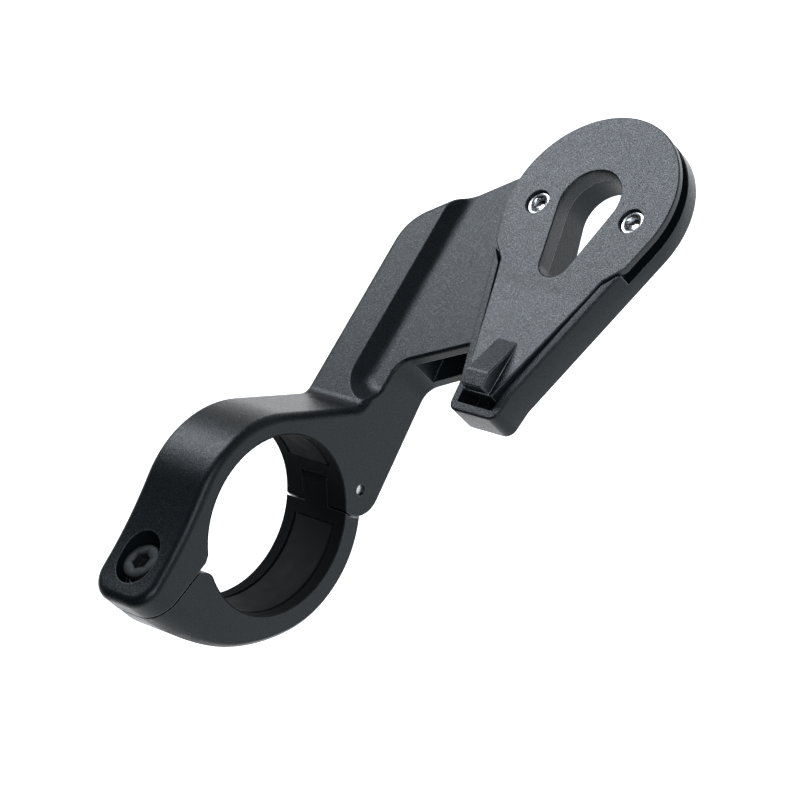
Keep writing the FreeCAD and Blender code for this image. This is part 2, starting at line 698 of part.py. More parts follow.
jaw_shank = add_sketch(jaw, "bolt_circle", "XY_Plane", at=along_bolt("0"), tilt="bolt_tilt")
ring(jaw_shank, "0", "0", "bolt_diameter / 2 + bolt_play")
grow(jaw, "Pocket", "bolt_hole", jaw_shank, "nut_depth + 1")


def hexagon(sketch, width):
    """Draw a hexagon across its flats, which face along the sketch's second axis."""
    corner = "(%s) / sqrt(3)" % width
    draw(sketch, tuple(polar(corner, "%d" % turn) for turn in range(0, 360, 60)))


nut_seat = add_sketch(jaw, "nut_outline", "XY_Plane", at=along_bolt("-nut_depth"), tilt="bolt_tilt")
hexagon(nut_seat, "nut_width + 2 * nut_play")
grow(jaw, "Pocket", "nut_pocket", nut_seat, "2 * boss_reach")


def place(piece, base, axis=None, angle=None):
    """Bind a piece's place, and its turn about an axis, to expressions of sizes."""
    if axis:
        piece.Placement = FreeCAD.Placement(VECTOR(), FreeCAD.Rotation(axis, value(angle)))
        piece.setExpression("Placement.Rotation.Angle", named(angle))
    for letter, shift in zip("xyz", base):
        piece.setExpression("Placement.Base." + letter, named(shift))


def add_rod(label, radius, length, base, axis=None, angle=None):
    """Add a plain round bar that stands on its base."""
    rod = doc.addObject("Part::Cylinder", label)
    rod.Label = label
    rod.setExpression("Radius", named(radius))
    rod.setExpression("Height", named(length))
    place(rod, base, axis, angle)
    return rod


# The pin runs through both ears and the knuckle, and its ends lie a little below the faces.
pin = add_rod(
    "hinge_pin", "pin_diameter / 2", "clamp_width - 2 * pin_recess",
    ("-%s + pin_recess" % HALF, "hinge_ahead", "-hinge_below"), VECTOR(0, 1, 0), "90",
)

# Rubber pads lie in the recesses of the bore and end flush with it.


def grip_pad(label, start, end):
    """Build one curved grip pad."""
    body = add_body(label)
    sketch = add_sketch(body, label + "_side", "YZ_Plane")
    outer = "bar_diameter / 2 + pad_thickness - pad_play"
    sector(sketch, BORE, outer, start + " + pad_end_play", end + " - pad_end_play")
    grow(body, "Pad", label + "_sheet", sketch, "pad_width", side="Symmetric")
    return body


upper_pad = grip_pad("upper_pad", "upper_pad_start", "upper_pad_end")
lower_pad = grip_pad("lower_pad", "lower_pad_start", "lower_pad_end")

# The clamp bolt, its washer and its nut share the tilted axis and measure from the parting plane.
bolt = add_body("clamp_bolt")
head = add_sketch(bolt, "head_circle", "XY_Plane", at=("0", "0", "boss_floor + washer_thickness"))
ring(head, "0", "0", "bolt_head_diameter / 2")
grow(bolt, "Pad", "head", head, "bolt_head_height")
stem = add_sketch(bolt, "shank_circle", "XY_Plane", at=("0", "0", "boss_floor + washer_thickness"))
ring(stem, "0", "0", "bolt_diameter / 2")
grow(bolt, "Pad", "shank", stem, "bolt_length", back=True)
BOLT_TOP = "boss_floor + washer_thickness + bolt_head_height"
socket = add_sketch(bolt, "key_outline", "XY_Plane", at=("0", "0", BOLT_TOP))
hexagon(socket, "bolt_key_width")
grow(bolt, "Pocket", "key", socket, "bolt_key_depth")
soften(bolt, "Chamfer", "thread_end", "bolt_diameter / 8", lambda edge, middle: (
    abs(middle.z - value("boss_floor + washer_thickness - bolt_length")) < 0.01
))
soften(bolt, "Chamfer", "head_edge", "bolt_head_height / 7", lambda edge, middle: (
    abs(middle.z - value(BOLT_TOP)) < 0.01 and edge.Length > value("6 * bolt_key_width")
))
washer = add_body("bolt_washer")
washer_outline = add_sketch(washer, "washer_circles", "XY_Plane", at=("0", "0", "boss_floor"))
ring(washer_outline, "0", "0", "washer_diameter / 2")
ring(washer_outline, "0", "0", "bolt_diameter / 2 + pin_play")
grow(washer, "Pad", "washer_disc", washer_outline, "washer_thickness")
nut = add_body("clamp_nut")
nut_outline = add_sketch(nut, "nut_outline", "XY_Plane", at=("0", "0", "-nut_depth"))
hexagon(nut_outline, "nut_width")
grow(nut, "Pad", "nut_hexagon", nut_outline, "nut_thickness", back=True)
nut_bore = add_sketch(nut, "nut_circle", "XY_Plane", at=("0", "0", "-nut_depth"))
ring(nut_bore, "0", "0", "bolt_diameter / 2 + nut_play")
grow(nut, "Pocket", "nut_bore", nut_bore, "2 * nut_thickness", side="Symmetric")
for piece in (bolt, washer, nut):
    place(piece, ("0", "-bolt_back", "bolt_up"), VECTOR(-1, 0, 0), "bolt_tilt")

# The plate: a thin round flange on a narrower stem, so that its edge is a rail for the device.
plate = add_body("rail_plate")
STEM_REAR = "(tongue_root - tongue_thickness)"
STEP_IN = "(rail_stop + 2 * rim_wall)"
EDGE = "rim_wall + tongue_gap"
flange = add_sketch(plate, "flange_outline", "XY_Plane", at=PLATFORM + ("plate_top",))
TANGENT_X = "plate_radius * cos(plate_flank)"
TANGENT_Y = "plate_centre - plate_radius * sin(plate_flank)"
draw(flange, (
    (TANGENT_X, TANGENT_Y, "plate_radius", "left"),
    ("0", "plate_centre + plate_radius", "plate_radius", "left"),
    ("-" + TANGENT_X, TANGENT_Y),
    ("-" + flank("-rail_stop"), "-rail_stop"),
    ("-" + flank("-" + STEP_IN, EDGE), "-" + STEP_IN),
    ("-" + flank("-tongue_root", EDGE), "-tongue_root"),
    (flank("-tongue_root", EDGE), "-tongue_root"),
    (flank("-" + STEP_IN, EDGE), "-" + STEP_IN),
    (flank("-rail_stop"), "-rail_stop"),
))
grow(plate, "Pad", "flange", flange, "plate_thickness", back=True)
root = add_sketch(plate, "root_outline", "XY_Plane", at=PLATFORM + ("plate_top",))
draw(root, (
    (flank("-" + STEP_IN, EDGE), "-" + STEP_IN),
    ("-" + flank("-" + STEP_IN, EDGE), "-" + STEP_IN),
    ("-" + flank("-tongue_root", EDGE), "-tongue_root"),
    (flank("-tongue_root", EDGE), "-tongue_root"),
))
grow(plate, "Pad", "root", root, "tongue_thickness", back=True)
stalk = add_sketch(plate, "stem_outline", "XY_Plane", at=PLATFORM + ("plate_top",))
NECK = "(plate_radius - rail_depth)"
draw(stalk, (
    (NECK + " * cos(plate_flank)", "plate_centre - %s * sin(plate_flank)" % NECK, NECK, "left"),
    ("0", "plate_centre + " + NECK, NECK, "left"),
    ("-%s * cos(plate_flank)" % NECK, "plate_centre - %s * sin(plate_flank)" % NECK),
    ("-" + flank("-" + STEM_REAR, "rail_depth"), "-" + STEM_REAR),
    (flank("-" + STEM_REAR, "rail_depth"), "-" + STEM_REAR),
))
grow(plate, "Pad", "stem", stalk, "plate_thickness + rail_height", back=True)
soften(plate, "Chamfer", "plate_edge", "plate_bevel", lambda edge, middle: (
    abs(middle.z - value("plate_top")) < 0.01 and middle.y > value("platform_ahead - tongue_root + 1")
))
slot = add_sketch(plate, "keyhole_outline", "XY_Plane", at=PLATFORM + ("plate_top",))
keyhole(slot)
grow(plate, "Pocket", "keyhole", slot, "2 * plate_radius", side="Symmetric")
KEY_FRONT = "platform_ahead + key_wide_centre + key_wide_radius + 1"
soften(plate, "Chamfer", "keyhole_edge", "plate_bevel", lambda edge, middle: (
    abs(middle.z - value("plate_top")) < 0.01
    and abs(middle.x - value("platform_right")) < value("key_wide_radius + 1")
    and value("platform_ahead - tongue_root + 1") < middle.y < value(KEY_FRONT)
))
sinks = add_sketch(plate, "head_circles", "XY_Plane", at=PLATFORM + ("plate_top",))
for sign in ("", "-"):
    ring(sinks, sign + "screw_spacing / 2", "0", "screw_head_diameter / 2 + screw_play")
grow(plate, "Pocket", "head_sinks", sinks, "screw_sink + screw_play")
shafts = add_sketch(plate, "shank_circles", "XY_Plane", at=PLATFORM + ("plate_top",))
for sign in ("", "-"):
    ring(shafts, sign + "screw_spacing / 2", "0", "screw_diameter / 2 + screw_play")
grow(plate, "Pocket", "shank_holes", shafts, "2 * plate_radius", side="Symmetric")
CONE = "(screw_head_diameter - screw_diameter) / 2 - 0.01"
soften(plate, "Chamfer", "head_cones", CONE, lambda edge, middle: (
    abs(middle.z - value("plate_top - screw_sink - screw_play")) < 0.01
    and edge.Length < value("4 * screw_diameter")
))
hollow_seam = add_sketch(plate, "seam_side", "YZ_Plane", at=("0", "0", "platform_right"))
SEAM = ("platform_ahead - tongue_root", "plate_top - tongue_thickness / 2")
ring(hollow_seam, *SEAM, "tongue_thickness / 2 + tongue_play")
grow(plate, "Pocket", "seam", hollow_seam, "4 * plate_radius", side="Symmetric")

# The sprung tongue turns by its round front edge in the plate's seam.
# The ramped tab stands on its rear.
tongue = add_body("latch_tongue")
TONGUE_LONG = "(tongue_end - tongue_root)"
strip = add_sketch(tongue, "tongue_side", "YZ_Plane")
draw(strip, (
    ("0", "-tongue_thickness / 2", "tongue_thickness / 2", "left"),
    ("0", "tongue_thickness / 2"),
    ("-" + TONGUE_LONG, "tongue_thickness / 2"),
    ("-" + TONGUE_LONG, "0"),
    ("-%s + tongue_thickness / 2" % TONGUE_LONG, "-tongue_thickness / 2"),
))
grow(tongue, "Pad", "tongue_strip", strip, "4 * plate_radius", side="Symmetric")
cheeks = add_sketch(tongue, "tongue_flanks", "XY_Plane")
for sign in ("", "-"):
    draw(cheeks, (
        (sign + flank("-tongue_root + 2", EDGE), "2"),
        (sign + flank("-tongue_end - 2", EDGE), "-%s - 2" % TONGUE_LONG),
        (sign + "3 * plate_radius", "-%s - 2" % TONGUE_LONG),
        (sign + "3 * plate_radius", "2"),
    ))
grow(tongue, "Pocket", "tongue_taper", cheeks, "10 * tongue_thickness", side="Symmetric")


def tab_section(name, behind, top, foot_half):
    """Draw one cross-section of the tab, sunk a little into the tongue."""
    section = add_sketch(tongue, name, "XZ_Plane", at=("0", "0", behind + " - tongue_root"))
    draw(section, (
        ("-tab_width / 2", top),
        ("-(%s)" % foot_half, "tongue_thickness / 4"),
        (foot_half, "tongue_thickness / 4"),
        ("tab_width / 2", top),
    ))
    return section


SURFACE = "tongue_thickness / 2"
first = tab_section("tab_front", "tab_start", SURFACE, "tab_width / 2 + 0.01")
TAB_TOP = SURFACE + " + tab_rise"
CREST_HALF = "(tab_width + tab_foot) / 4 + 0.2"
second = tab_section("tab_crest", "tab_start + tab_ramp", TAB_TOP, CREST_HALF)
third = tab_section("tab_rear", "tab_start + tab_ramp + tab_top", TAB_TOP, "tab_foot / 2")
tab = tongue.newObject("PartDesign::AdditiveLoft", "tab")
tab.Profile = first
tab.Sections = [second, third]
tab.Ruled = True
doc.recompute()
soften(tongue, "Chamfer", "tongue_edge", "tongue_bevel", lambda edge, middle: (
    abs(middle.z - value(SURFACE)) < 0.01 and abs(middle.x) > value("tab_foot / 2")
    and middle.y > value("0.1 - %s" % TONGUE_LONG)
))
soften(tongue, "Chamfer", "tab_edge", "tongue_bevel", lambda edge, middle: (
    middle.z > value(SURFACE + " + tab_rise / 4")
))
place(
    tongue, ("platform_right", "platform_ahead - tongue_root", "plate_top - tongue_thickness / 2"),
    VECTOR(-1, 0, 0), "tongue_lift",
)


def pair(label, make):
    """Group two identical fasteners, one on each side of the platform's middle."""
    group = doc.addObject("Part::Compound", label)
    group.Label = label
    right = make(label + "_right", "screw_spacing / 2")
    left = make(label + "_left", "-screw_spacing / 2")
    group.Links = [right, left]
    doc.recompute()
    return group


def join(kind, label, first_piece, second_piece):
    """Fuse two solids or cut the second from the first."""
    result = doc.addObject("Part::" + kind, label)
    result.Base = first_piece
    result.Tool = second_piece
    return result


def make_screw(label, shift):
    """Build one countersunk screw with a hexagon socket."""
    base = ("platform_right + " + shift, "platform_ahead")
    top = "plate_top - screw_sink"
    cone = doc.addObject("Part::Cone", label + "_cone")
    cone.setExpression("Radius1", named("screw_diameter / 2"))
    cone.setExpression("Radius2", named("screw_head_diameter / 2"))
    cone.setExpression("Height", named("(screw_head_diameter - screw_diameter) / 2"))
    place(cone, base + (top + " - (screw_head_diameter - screw_diameter) / 2",))
    tip = base + (top + " - screw_length",)
    shaft = add_rod(label + "_shaft", "screw_diameter / 2", "screw_length", tip)
    recess = doc.addObject("Part::Prism", label + "_socket")
    recess.Polygon = 6
    recess.setExpression("Circumradius", named("screw_key_width / sqrt(3)"))
    recess.setExpression("Height", named("screw_head_depth"))
    place(recess, base + (top + " - screw_head_depth * 0.7",))
    return join("Cut", label, join("Fuse", label + "_blank", cone, shaft), recess)


def make_insert(label, shift):
    """Build one threaded insert."""
    base = ("platform_right + " + shift, "platform_ahead", BASE_TOP + " - insert_length")
    sleeve = add_rod(label + "_sleeve", "insert_diameter / 2", "insert_length", base)
    thread = add_rod(label + "_thread", "screw_diameter / 2 + pin_play", "insert_length", base)
    return join("Cut", label, sleeve, thread)


screws = pair("plate_screws", make_screw)
inserts = pair("screw_inserts", make_insert)

doc.recompute()
PIECES = (
    arm, jaw, pin, upper_pad, lower_pad, bolt, washer, nut, plate, tongue, screws, inserts,
)
for item in doc.Objects:
    if "Invalid" in item.State or "Error" in item.State:
        raise RuntimeError("%s failed: %s" % (item.Label, item.State))
for piece in PIECES:
    if piece.Shape.isNull() or not piece.Shape.isValid() or not piece.Shape.Solids:
        raise RuntimeError(piece.Label + " has no valid solid")
os.makedirs("parts", exist_ok=True)
for piece in PIECES:
    piece.Shape.exportStep("parts/%s.step" % piece.Label)
    print("%-14s %d solid, %8.1f mm3" % (piece.Label, len(piece.Shape.Solids), piece.Shape.Volume))
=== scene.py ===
"""Looks of a bike computer mount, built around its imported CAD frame."""

import logging
import math
from abc import ABC, abstractmethod
from dataclasses import dataclass, field, replace
from enum import Enum
from functools import cache
from typing import ClassVar, Sequence

import bmesh
import bpy
from mathutils import Matrix, Vector


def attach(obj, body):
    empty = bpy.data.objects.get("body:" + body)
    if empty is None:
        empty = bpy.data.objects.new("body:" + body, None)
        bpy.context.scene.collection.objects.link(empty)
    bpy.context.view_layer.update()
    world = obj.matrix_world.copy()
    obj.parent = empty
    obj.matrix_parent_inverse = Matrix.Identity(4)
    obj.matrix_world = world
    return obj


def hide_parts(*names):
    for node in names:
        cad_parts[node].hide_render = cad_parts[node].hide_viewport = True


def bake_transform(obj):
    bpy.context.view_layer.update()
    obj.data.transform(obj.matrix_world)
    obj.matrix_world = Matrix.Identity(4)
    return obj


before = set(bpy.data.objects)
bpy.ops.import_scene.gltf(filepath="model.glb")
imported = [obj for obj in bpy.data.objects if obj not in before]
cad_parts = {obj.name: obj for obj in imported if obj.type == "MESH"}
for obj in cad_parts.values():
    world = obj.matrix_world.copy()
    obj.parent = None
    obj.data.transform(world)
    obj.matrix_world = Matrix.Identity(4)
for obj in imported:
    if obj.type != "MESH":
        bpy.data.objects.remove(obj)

MM = 0.001
log = logging.getLogger("mount")

Point2 = tuple[float, float]
Point3 = tuple[float, float, float]
Colour = tuple[float, float, float]
Socket = bpy.types.NodeSocket
Outputs = bpy.types.NodeOutputs
Item = bpy.types.Object
Shape = bmesh.types.BMesh

# Angles in degrees past which an edge stays sharp
MOULDED_SHARP = 50.0
TURNED_SHARP = 40.0
NUT_SHARP = 30.0

# Distances under which corners are one, and the turn under which faces are flat
MERGE = 0.002 * MM
SLIVER = 0.005 * MM
FLAT_TURN = math.radians(0.4)

FACE_WEIGHT = 80
SIXTH_TURN = math.pi / 3.0
PLATFORM: Point2 = (31.6, 71.1)


class Body(Enum):
    """Moving bodies of the frame."""

    ARM = "arm"
    JAW = "jaw"
    WASHER = "washer"
    BOLT = "bolt"
    LATCH = "latch"


class Slot(Enum):
    """Material slots of the record."""

    ARM_PLASTIC = "arm_plastic"
    RAIL_PLASTIC = "rail_plastic"
    PAD_RUBBER = "pad_rubber"
    BLACK_STEEL = "black_steel"
    BRIGHT_STEEL = "bright_steel"
    INSERT_BRASS = "insert_brass"


class Section(Enum):
    """Outline of one ring of a turned piece."""

    ROUND = "round"
    HEXAGON = "hexagon"


class NodeSketch:
    """Adds and links the nodes of one node tree."""

    def __init__(self, tree: bpy.types.NodeTree) -> None:
        """Keeps the tree that the nodes go into."""
        self.tree = tree

    def add(
        self, kind: str, inputs: dict[str | int, object] | None = None, **settings: object
    ) -> bpy.types.Node:
        """Adds a node.

        Args:
            kind: the node's type.
            inputs: what its inputs get, sockets or plain values.
            settings: properties of the node.

        Returns:
            The node.
        """
        node = self.tree.nodes.new(kind)
        for label, value in settings.items():
            setattr(node, label, value)
        for label, value in (inputs or {}).items():
            self.feed(value, node.inputs[label])
        return node

    def math(self, operation: str, *values: object) -> Socket:
        """Adds a Math node on sockets or numbers and returns its output."""
        return self.add("ShaderNodeMath", dict(enumerate(values)), operation=operation).outputs[0]

    def feed(self, value: object, target: Socket) -> None:
        """Joins a socket to an input, or sets the input to a plain value.

        Args:
            value: the socket or the value.
            target: the input.
        """
        if isinstance(value, Socket):
            self.tree.links.new(value, target)
        else:
            target.default_value = value

    def split(self, vector: Socket) -> Outputs:
        """Adds a node that parts a vector and returns its outputs."""
        return self.add("ShaderNodeSeparateXYZ", {"Vector": vector}).outputs

    def ranged(
        self, value: Socket, source: Point2, target: Point2 = (0.0, 1.0), eased: bool = False
    ) -> Socket:
        """Adds a Map Range node.

        Args:
            value: what is mapped.
            source: the range it comes from.
            target: the range it goes to.
            eased: whether it eases in and out.

        Returns:
            The mapped value.
        """
        kind = "SMOOTHSTEP" if eased else "LINEAR"
        labels = ("From Min", "From Max", "To Min", "To Max", "Value")
        given = dict(zip(labels, (*source, *target, value)))
        return self.add("ShaderNodeMapRange", given, interpolation_type=kind).outputs["Result"]

    def noise(self, coords: Socket, size: float, detail: float, roughness: float = 0.5) -> Socket:
        """Adds noise whose largest forms have a size, with finer layers, and returns it."""
        given = {"Vector": coords, "Scale": 1.0 / size, "Detail": detail, "Roughness": roughness}
        return self.add("ShaderNodeTexNoise", given).outputs["Fac"]

    def cells(self, coords: Socket, size: float) -> Outputs:
        """Adds a texture of cells of a size and returns its outputs."""
        return self.add("ShaderNodeTexVoronoi", {"Vector": coords, "Scale": 1.0 / size}).outputs

    def mix(self, factor: Socket, first: object, second: object, how: str = "MIX") -> Socket:
        """Mixes two colours.

        Args:
            factor: share of the second.
            first: a colour or a socket.
            second: the same.
            how: the node's blend type.

        Returns:
            The mixed colour.
        """
        node = self.add("ShaderNodeMix", {"Factor": factor}, data_type="RGBA", blend_type=how)
        ends = [socket for socket in node.inputs if socket.type == "RGBA"]
        for value, target in zip((first, second), ends):
            self.feed(value, target)
        return next(socket for socket in node.outputs if socket.type == "RGBA")

    def hand_out(self, geometry: Socket, material: Socket) -> None:
        """Ends a geometry tree: makes copies real and sets their material.

        Args:
            geometry: what was made.
            material: its material.
        """
        real = self.add("GeometryNodeRealizeInstances", {"Geometry": geometry})
        given = {"Geometry": real.outputs["Geometry"], "Material": material}
        paint = self.add("GeometryNodeSetMaterial", given)
        self.add("NodeGroupOutput", {0: paint.outputs["Geometry"]})


@dataclass(frozen=True)
class Finish(ABC):
    """A surface finish: base colour, grain, and edges lightened partly by wear and partly by
    painted highlight.

    Lengths are in metres. Sheen, wear and the painted edge highlight vary in patches of many
    grains. An edge is lightened where rounding it turns the surface, from the first cosine to the
    second.
    """

    PATCH_GRAINS: ClassVar[float] = 14.0
    PATCH_DETAIL: ClassVar[float] = 3.0
    PATCH_RANGE: ClassVar[Point2] = (0.3, 0.7)
    EDGE_COSINES: ClassVar[Point2] = (0.995, 0.90)
    EDGE_SAMPLES: ClassVar[int] = 6
    # Multiplies the colour in the bore: painted shade
    PAINTED_BORE_SHADE: ClassVar[Colour] = (0.2, 0.2, 0.2)

    slot: Slot
    colour: Colour
    # Colour of the lightened edges: partly wear, partly a painted highlight
    worn_and_highlight_colour: Colour
    roughness: float
    roughness_swing: float
    grain: float
    relief: float
    edge_radius: float
    metallic: float = 0.0
    specular: float = 0.5
    speckle: float = 0.0
    sheen_tint: Colour = (1.0, 1.0, 1.0)

    @abstractmethod
    def height(self, sketch: NodeSketch, coords: Socket) -> Socket:
        """Adds the nodes of the grain's height and returns the height."""

    @cache
    def material(self) -> bpy.types.Material:
        """Builds the finish.

        Returns:
            The material, the same one each time.
        """
        material = bpy.data.materials.new(self.slot.value)
        material.use_nodes = True
        material.diffuse_color = (*self.colour, 1.0)
        material.node_tree.nodes.clear()
        sketch = NodeSketch(material.node_tree)
        coords = sketch.add("ShaderNodeTexCoord").outputs["Object"]
        shader = sketch.add(
            "ShaderNodeBsdfPrincipled",
            {
                "Metallic": self.metallic,
                "Specular IOR Level": self.specular,
                "Specular Tint": (*self.sheen_tint, 1.0),
            },
        )
        sketch.add("ShaderNodeOutputMaterial", {"Surface": shader.outputs["BSDF"]})
        reach = {"Radius": self.edge_radius}
        bevel = sketch.add("ShaderNodeBevel", reach, samples=self.EDGE_SAMPLES)
        bump = sketch.add(
            "ShaderNodeBump",
            {
                "Strength": 1.0,
                "Distance": self.relief,
                "Height": self.height(sketch, coords),
                "Normal": bevel.outputs["Normal"],
            },
        )
        sketch.feed(bump.outputs["Normal"], shader.inputs["Normal"])
        self._tint(sketch, shader, bevel, coords)
        return material

    def dullness_and_painted_shade(self, sketch: NodeSketch, coords: Socket) -> Socket | None:
        """Adds the nodes of where the skin is rougher and darkened by painted shade, if anywhere,
        and returns how much.
        """
        return None

    def _tint(
        self,
        sketch: NodeSketch,
        shader: bpy.types.Node,
        bevel: bpy.types.Node,
        coords: Socket,
    ) -> None:
        """Adds the edges lightened by wear and painted highlight, the uneven sheen, and the bore's
        rougher skin with painted shade.

        Args:
            sketch: the material's nodes.
            shader: the surface shader.
            bevel: the node that rounds the edges.
            coords: the piece's coordinates.
        """
        face = sketch.add("ShaderNodeNewGeometry").outputs["Normal"]
        normals = {0: bevel.outputs["Normal"], 1: face}
        facing = sketch.add("ShaderNodeVectorMath", normals, operation="DOT_PRODUCT")
        edge = sketch.ranged(facing.outputs["Value"], self.EDGE_COSINES)
        patch = sketch.noise(coords, self.PATCH_GRAINS * self.grain, self.PATCH_DETAIL)
        # Edge mask times patches: edges lightened partly as wear, partly as painted highlight
        worn_and_highlight = sketch.math("MULTIPLY", edge, patch)
        tint = sketch.mix(worn_and_highlight, (*self.colour, 1.0), (*self.worn_and_highlight_colour, 1.0))
        swing = (self.roughness - self.roughness_swing, self.roughness + self.roughness_swing)
        sheen = sketch.ranged(patch, self.PATCH_RANGE, swing)
        grains = sketch.cells(coords, self.grain)
        lot = sketch.add("ShaderNodeSeparateColor", {"Color": grains["Color"]})
        fleck = sketch.math("MULTIPLY_ADD", lot.outputs[0], self.speckle, -0.5 * self.speckle)
        rough = sketch.math("ADD", sheen, fleck)
        # Mask of the bore: raises the roughness and darkens the colour as painted shade
        dull = self.dullness_and_painted_shade(sketch, coords)
        if dull is not None:
            rough = sketch.math("MAXIMUM", rough, dull)
            tint = sketch.mix(dull, tint, (*self.PAINTED_BORE_SHADE, 1.0), "MULTIPLY")
        sketch.feed(tint, shader.inputs["Base Color"])
        sketch.feed(rough, shader.inputs["Roughness"])


@dataclass(frozen=True)
class MouldedPlastic(Finish):
    """Filled nylon out of a spark eroded mould: fine even grain; in the bore for the bar it is
    rougher and darkened by painted shade.
    """

    BORE_BLUR: ClassVar[float] = 0.1 * MM
    GRAIN_DETAIL: ClassVar[Point2] = (2.0, 0.6)
    PIT_SHARE: ClassVar[float] = 1.2
    PIT_DEPTH: ClassVar[float] = 0.3

    bore_reach: float = 0.0

    def dullness_and_painted_shade(self, sketch: NodeSketch, coords: Socket) -> Socket | None:
        """Adds the nodes of the bore, rougher and darkened by painted shade, and returns how much
        the skin is.
        """
        if not self.bore_reach:
            return None
        _, y, z = sketch.split(coords)
        apart = sketch.math("MULTIPLY_ADD", z, z, sketch.math("MULTIPLY", y, y))
        outside = (self.bore_reach + self.BORE_BLUR) ** 2
        inside = (self.bore_reach - self.BORE_BLUR) ** 2
        return sketch.ranged(apart, (outside, inside))

    def height(self, sketch: NodeSketch, coords: Socket) -> Socket:
        """Adds the mould's grain and returns its height."""
        fine = sketch.noise(coords, self.grain, *self.GRAIN_DETAIL)
        pits = sketch.cells(coords, self.grain / self.PIT_SHARE)
        return sketch.math("MULTIPLY_ADD", pits["Distance"], self.PIT_DEPTH, fine)


@dataclass(frozen=True)
class GripRubber(Finish):
    """Soft rubber with a dull, slightly dusty skin."""

    SKIN_DETAIL: ClassVar[float] = 5.0

    def height(self, sketch: NodeSketch, coords: Socket) -> Socket:
        """Adds the rubber's skin and returns its height."""
        return sketch.noise(coords, self.grain, self.SKIN_DETAIL)


@dataclass(frozen=True)
class TurnedMetal(Finish):
    """Metal with the fine marks of turning or plating."""

    MARK_DETAIL: ClassVar[float] = 4.0
    MARK_STRETCH: ClassVar[Point3] = (1.0, 1.0, 6.0)

    def height(self, sketch: NodeSketch, coords: Socket) -> Socket:
        """Adds the tool marks and returns their height."""
        lie = sketch.add("ShaderNodeMapping", {"Vector": coords, "Scale": self.MARK_STRETCH})
        return sketch.noise(lie.outputs["Vector"], self.grain, self.MARK_DETAIL)


ARM_PLASTIC = MouldedPlastic(
    slot=Slot.ARM_PLASTIC,
    colour=(0.0042, 0.0060, 0.0074),
    worn_and_highlight_colour=(0.150, 0.165, 0.180),
    roughness=0.31,
    roughness_swing=0.012,
    grain=0.17 * MM,
    relief=0.038 * MM,
    edge_radius=0.22 * MM,
    specular=0.19,
    speckle=0.12,
    sheen_tint=(0.90, 0.97, 1.0),
    # Radius inside which the bore is rougher and darkened by painted shade
    bore_reach=16.15 * MM,
)
RAIL_PLASTIC = MouldedPlastic(
    slot=Slot.RAIL_PLASTIC,
    colour=(0.0072, 0.0096, 0.0116),
    # Very pale edge colour: mostly a painted highlight along the edges
    worn_and_highlight_colour=(0.480, 0.500, 0.530),
    roughness=0.30,
    roughness_swing=0.012,
    grain=0.17 * MM,
    relief=0.048 * MM,
    edge_radius=0.15 * MM,
    specular=0.32,
    speckle=0.15,
    sheen_tint=(0.92, 0.96, 1.0),
)
PAD_RUBBER = GripRubber(
    slot=Slot.PAD_RUBBER,
    colour=(0.0050, 0.0056, 0.0066),
    worn_and_highlight_colour=(0.014, 0.015, 0.016),
    roughness=0.82,
    roughness_swing=0.06,
    grain=0.22 * MM,
    relief=0.012 * MM,
    edge_radius=0.15 * MM,
    specular=0.16,
)
BLACK_STEEL = TurnedMetal(
    slot=Slot.BLACK_STEEL,
    colour=(0.009, 0.010, 0.011),
    worn_and_highlight_colour=(0.14, 0.145, 0.15),
    roughness=0.48,
    roughness_swing=0.05,
    grain=0.18 * MM,
    relief=0.010 * MM,
    edge_radius=0.08 * MM,
    specular=0.10,
    speckle=0.10,
    sheen_tint=(0.90, 0.97, 1.0),
)
BRIGHT_STEEL = TurnedMetal(
    slot=Slot.BRIGHT_STEEL,
    colour=(0.42, 0.43, 0.44),
    worn_and_highlight_colour=(0.66, 0.67, 0.68),
    roughness=0.26,
    roughness_swing=0.06,
    grain=0.15 * MM,
    relief=0.002 * MM,
    edge_radius=0.06 * MM,
    metallic=1.0,
)
INSERT_BRASS = replace(
    BRIGHT_STEEL,
    slot=Slot.INSERT_BRASS,
    colour=(0.62, 0.44, 0.18),
    worn_and_highlight_colour=(0.78, 0.60, 0.32),
    roughness=0.32,
    relief=0.003 * MM,
)


def settle(mesh_object: Item, sharp: float = MOULDED_SHARP) -> Item:
    """Shades a piece smooth, with flat faces kept flat, and makes that final.

    Args:
        mesh_object: a piece whose shape is done.
        sharp: edges that turn by more than this many degrees stay sharp.

    Returns:
        The same piece.
    """
    mesh = mesh_object.data
    work = bmesh.new()
    work.from_mesh(mesh)
    limit = math.radians(sharp)
    for face in work.faces:
        face.smooth = True
    for edge in work.edges:
        whole = edge.smooth and len(edge.link_faces) == 2
        edge.smooth = whole and edge.calc_face_angle(math.pi) < limit
    work.to_mesh(mesh)
    work.free()
    weigh = mesh_object.modifiers.new("weighted_normal", "WEIGHTED_NORMAL")
    weigh.keep_sharp = True
    weigh.weight = FACE_WEIGHT
    bake(mesh_object)
    return mesh_object


def bake(mesh_object: Item) -> None:
    """Turns a piece with modifiers into a plain mesh."""
    depsgraph = bpy.context.evaluated_depsgraph_get()
    depsgraph.update()
    mesh = bpy.data.meshes.new_from_object(
        mesh_object.evaluated_get(depsgraph), preserve_all_data_layers=True, depsgraph=depsgraph
    )
    mesh_object.modifiers.clear()
    mesh_object.data = mesh


def new_item(name: str, data: bpy.types.ID) -> Item:
    """Adds a mesh, a light or a camera to the scene and returns its object."""
    item = bpy.data.objects.new(name, data)
    bpy.context.scene.collection.objects.link(item)
    return item


def add_object(name: str, work: Shape) -> Item:
    """Links a new piece.

    Args:
        name: the piece's name.
        work: its shape, freed here.

    Returns:
        The piece, at the origin.
    """
    bmesh.ops.recalc_face_normals(work, faces=work.faces)
    mesh = bpy.data.meshes.new(name)
    work.to_mesh(mesh)
    work.free()
    return new_item(name, mesh)


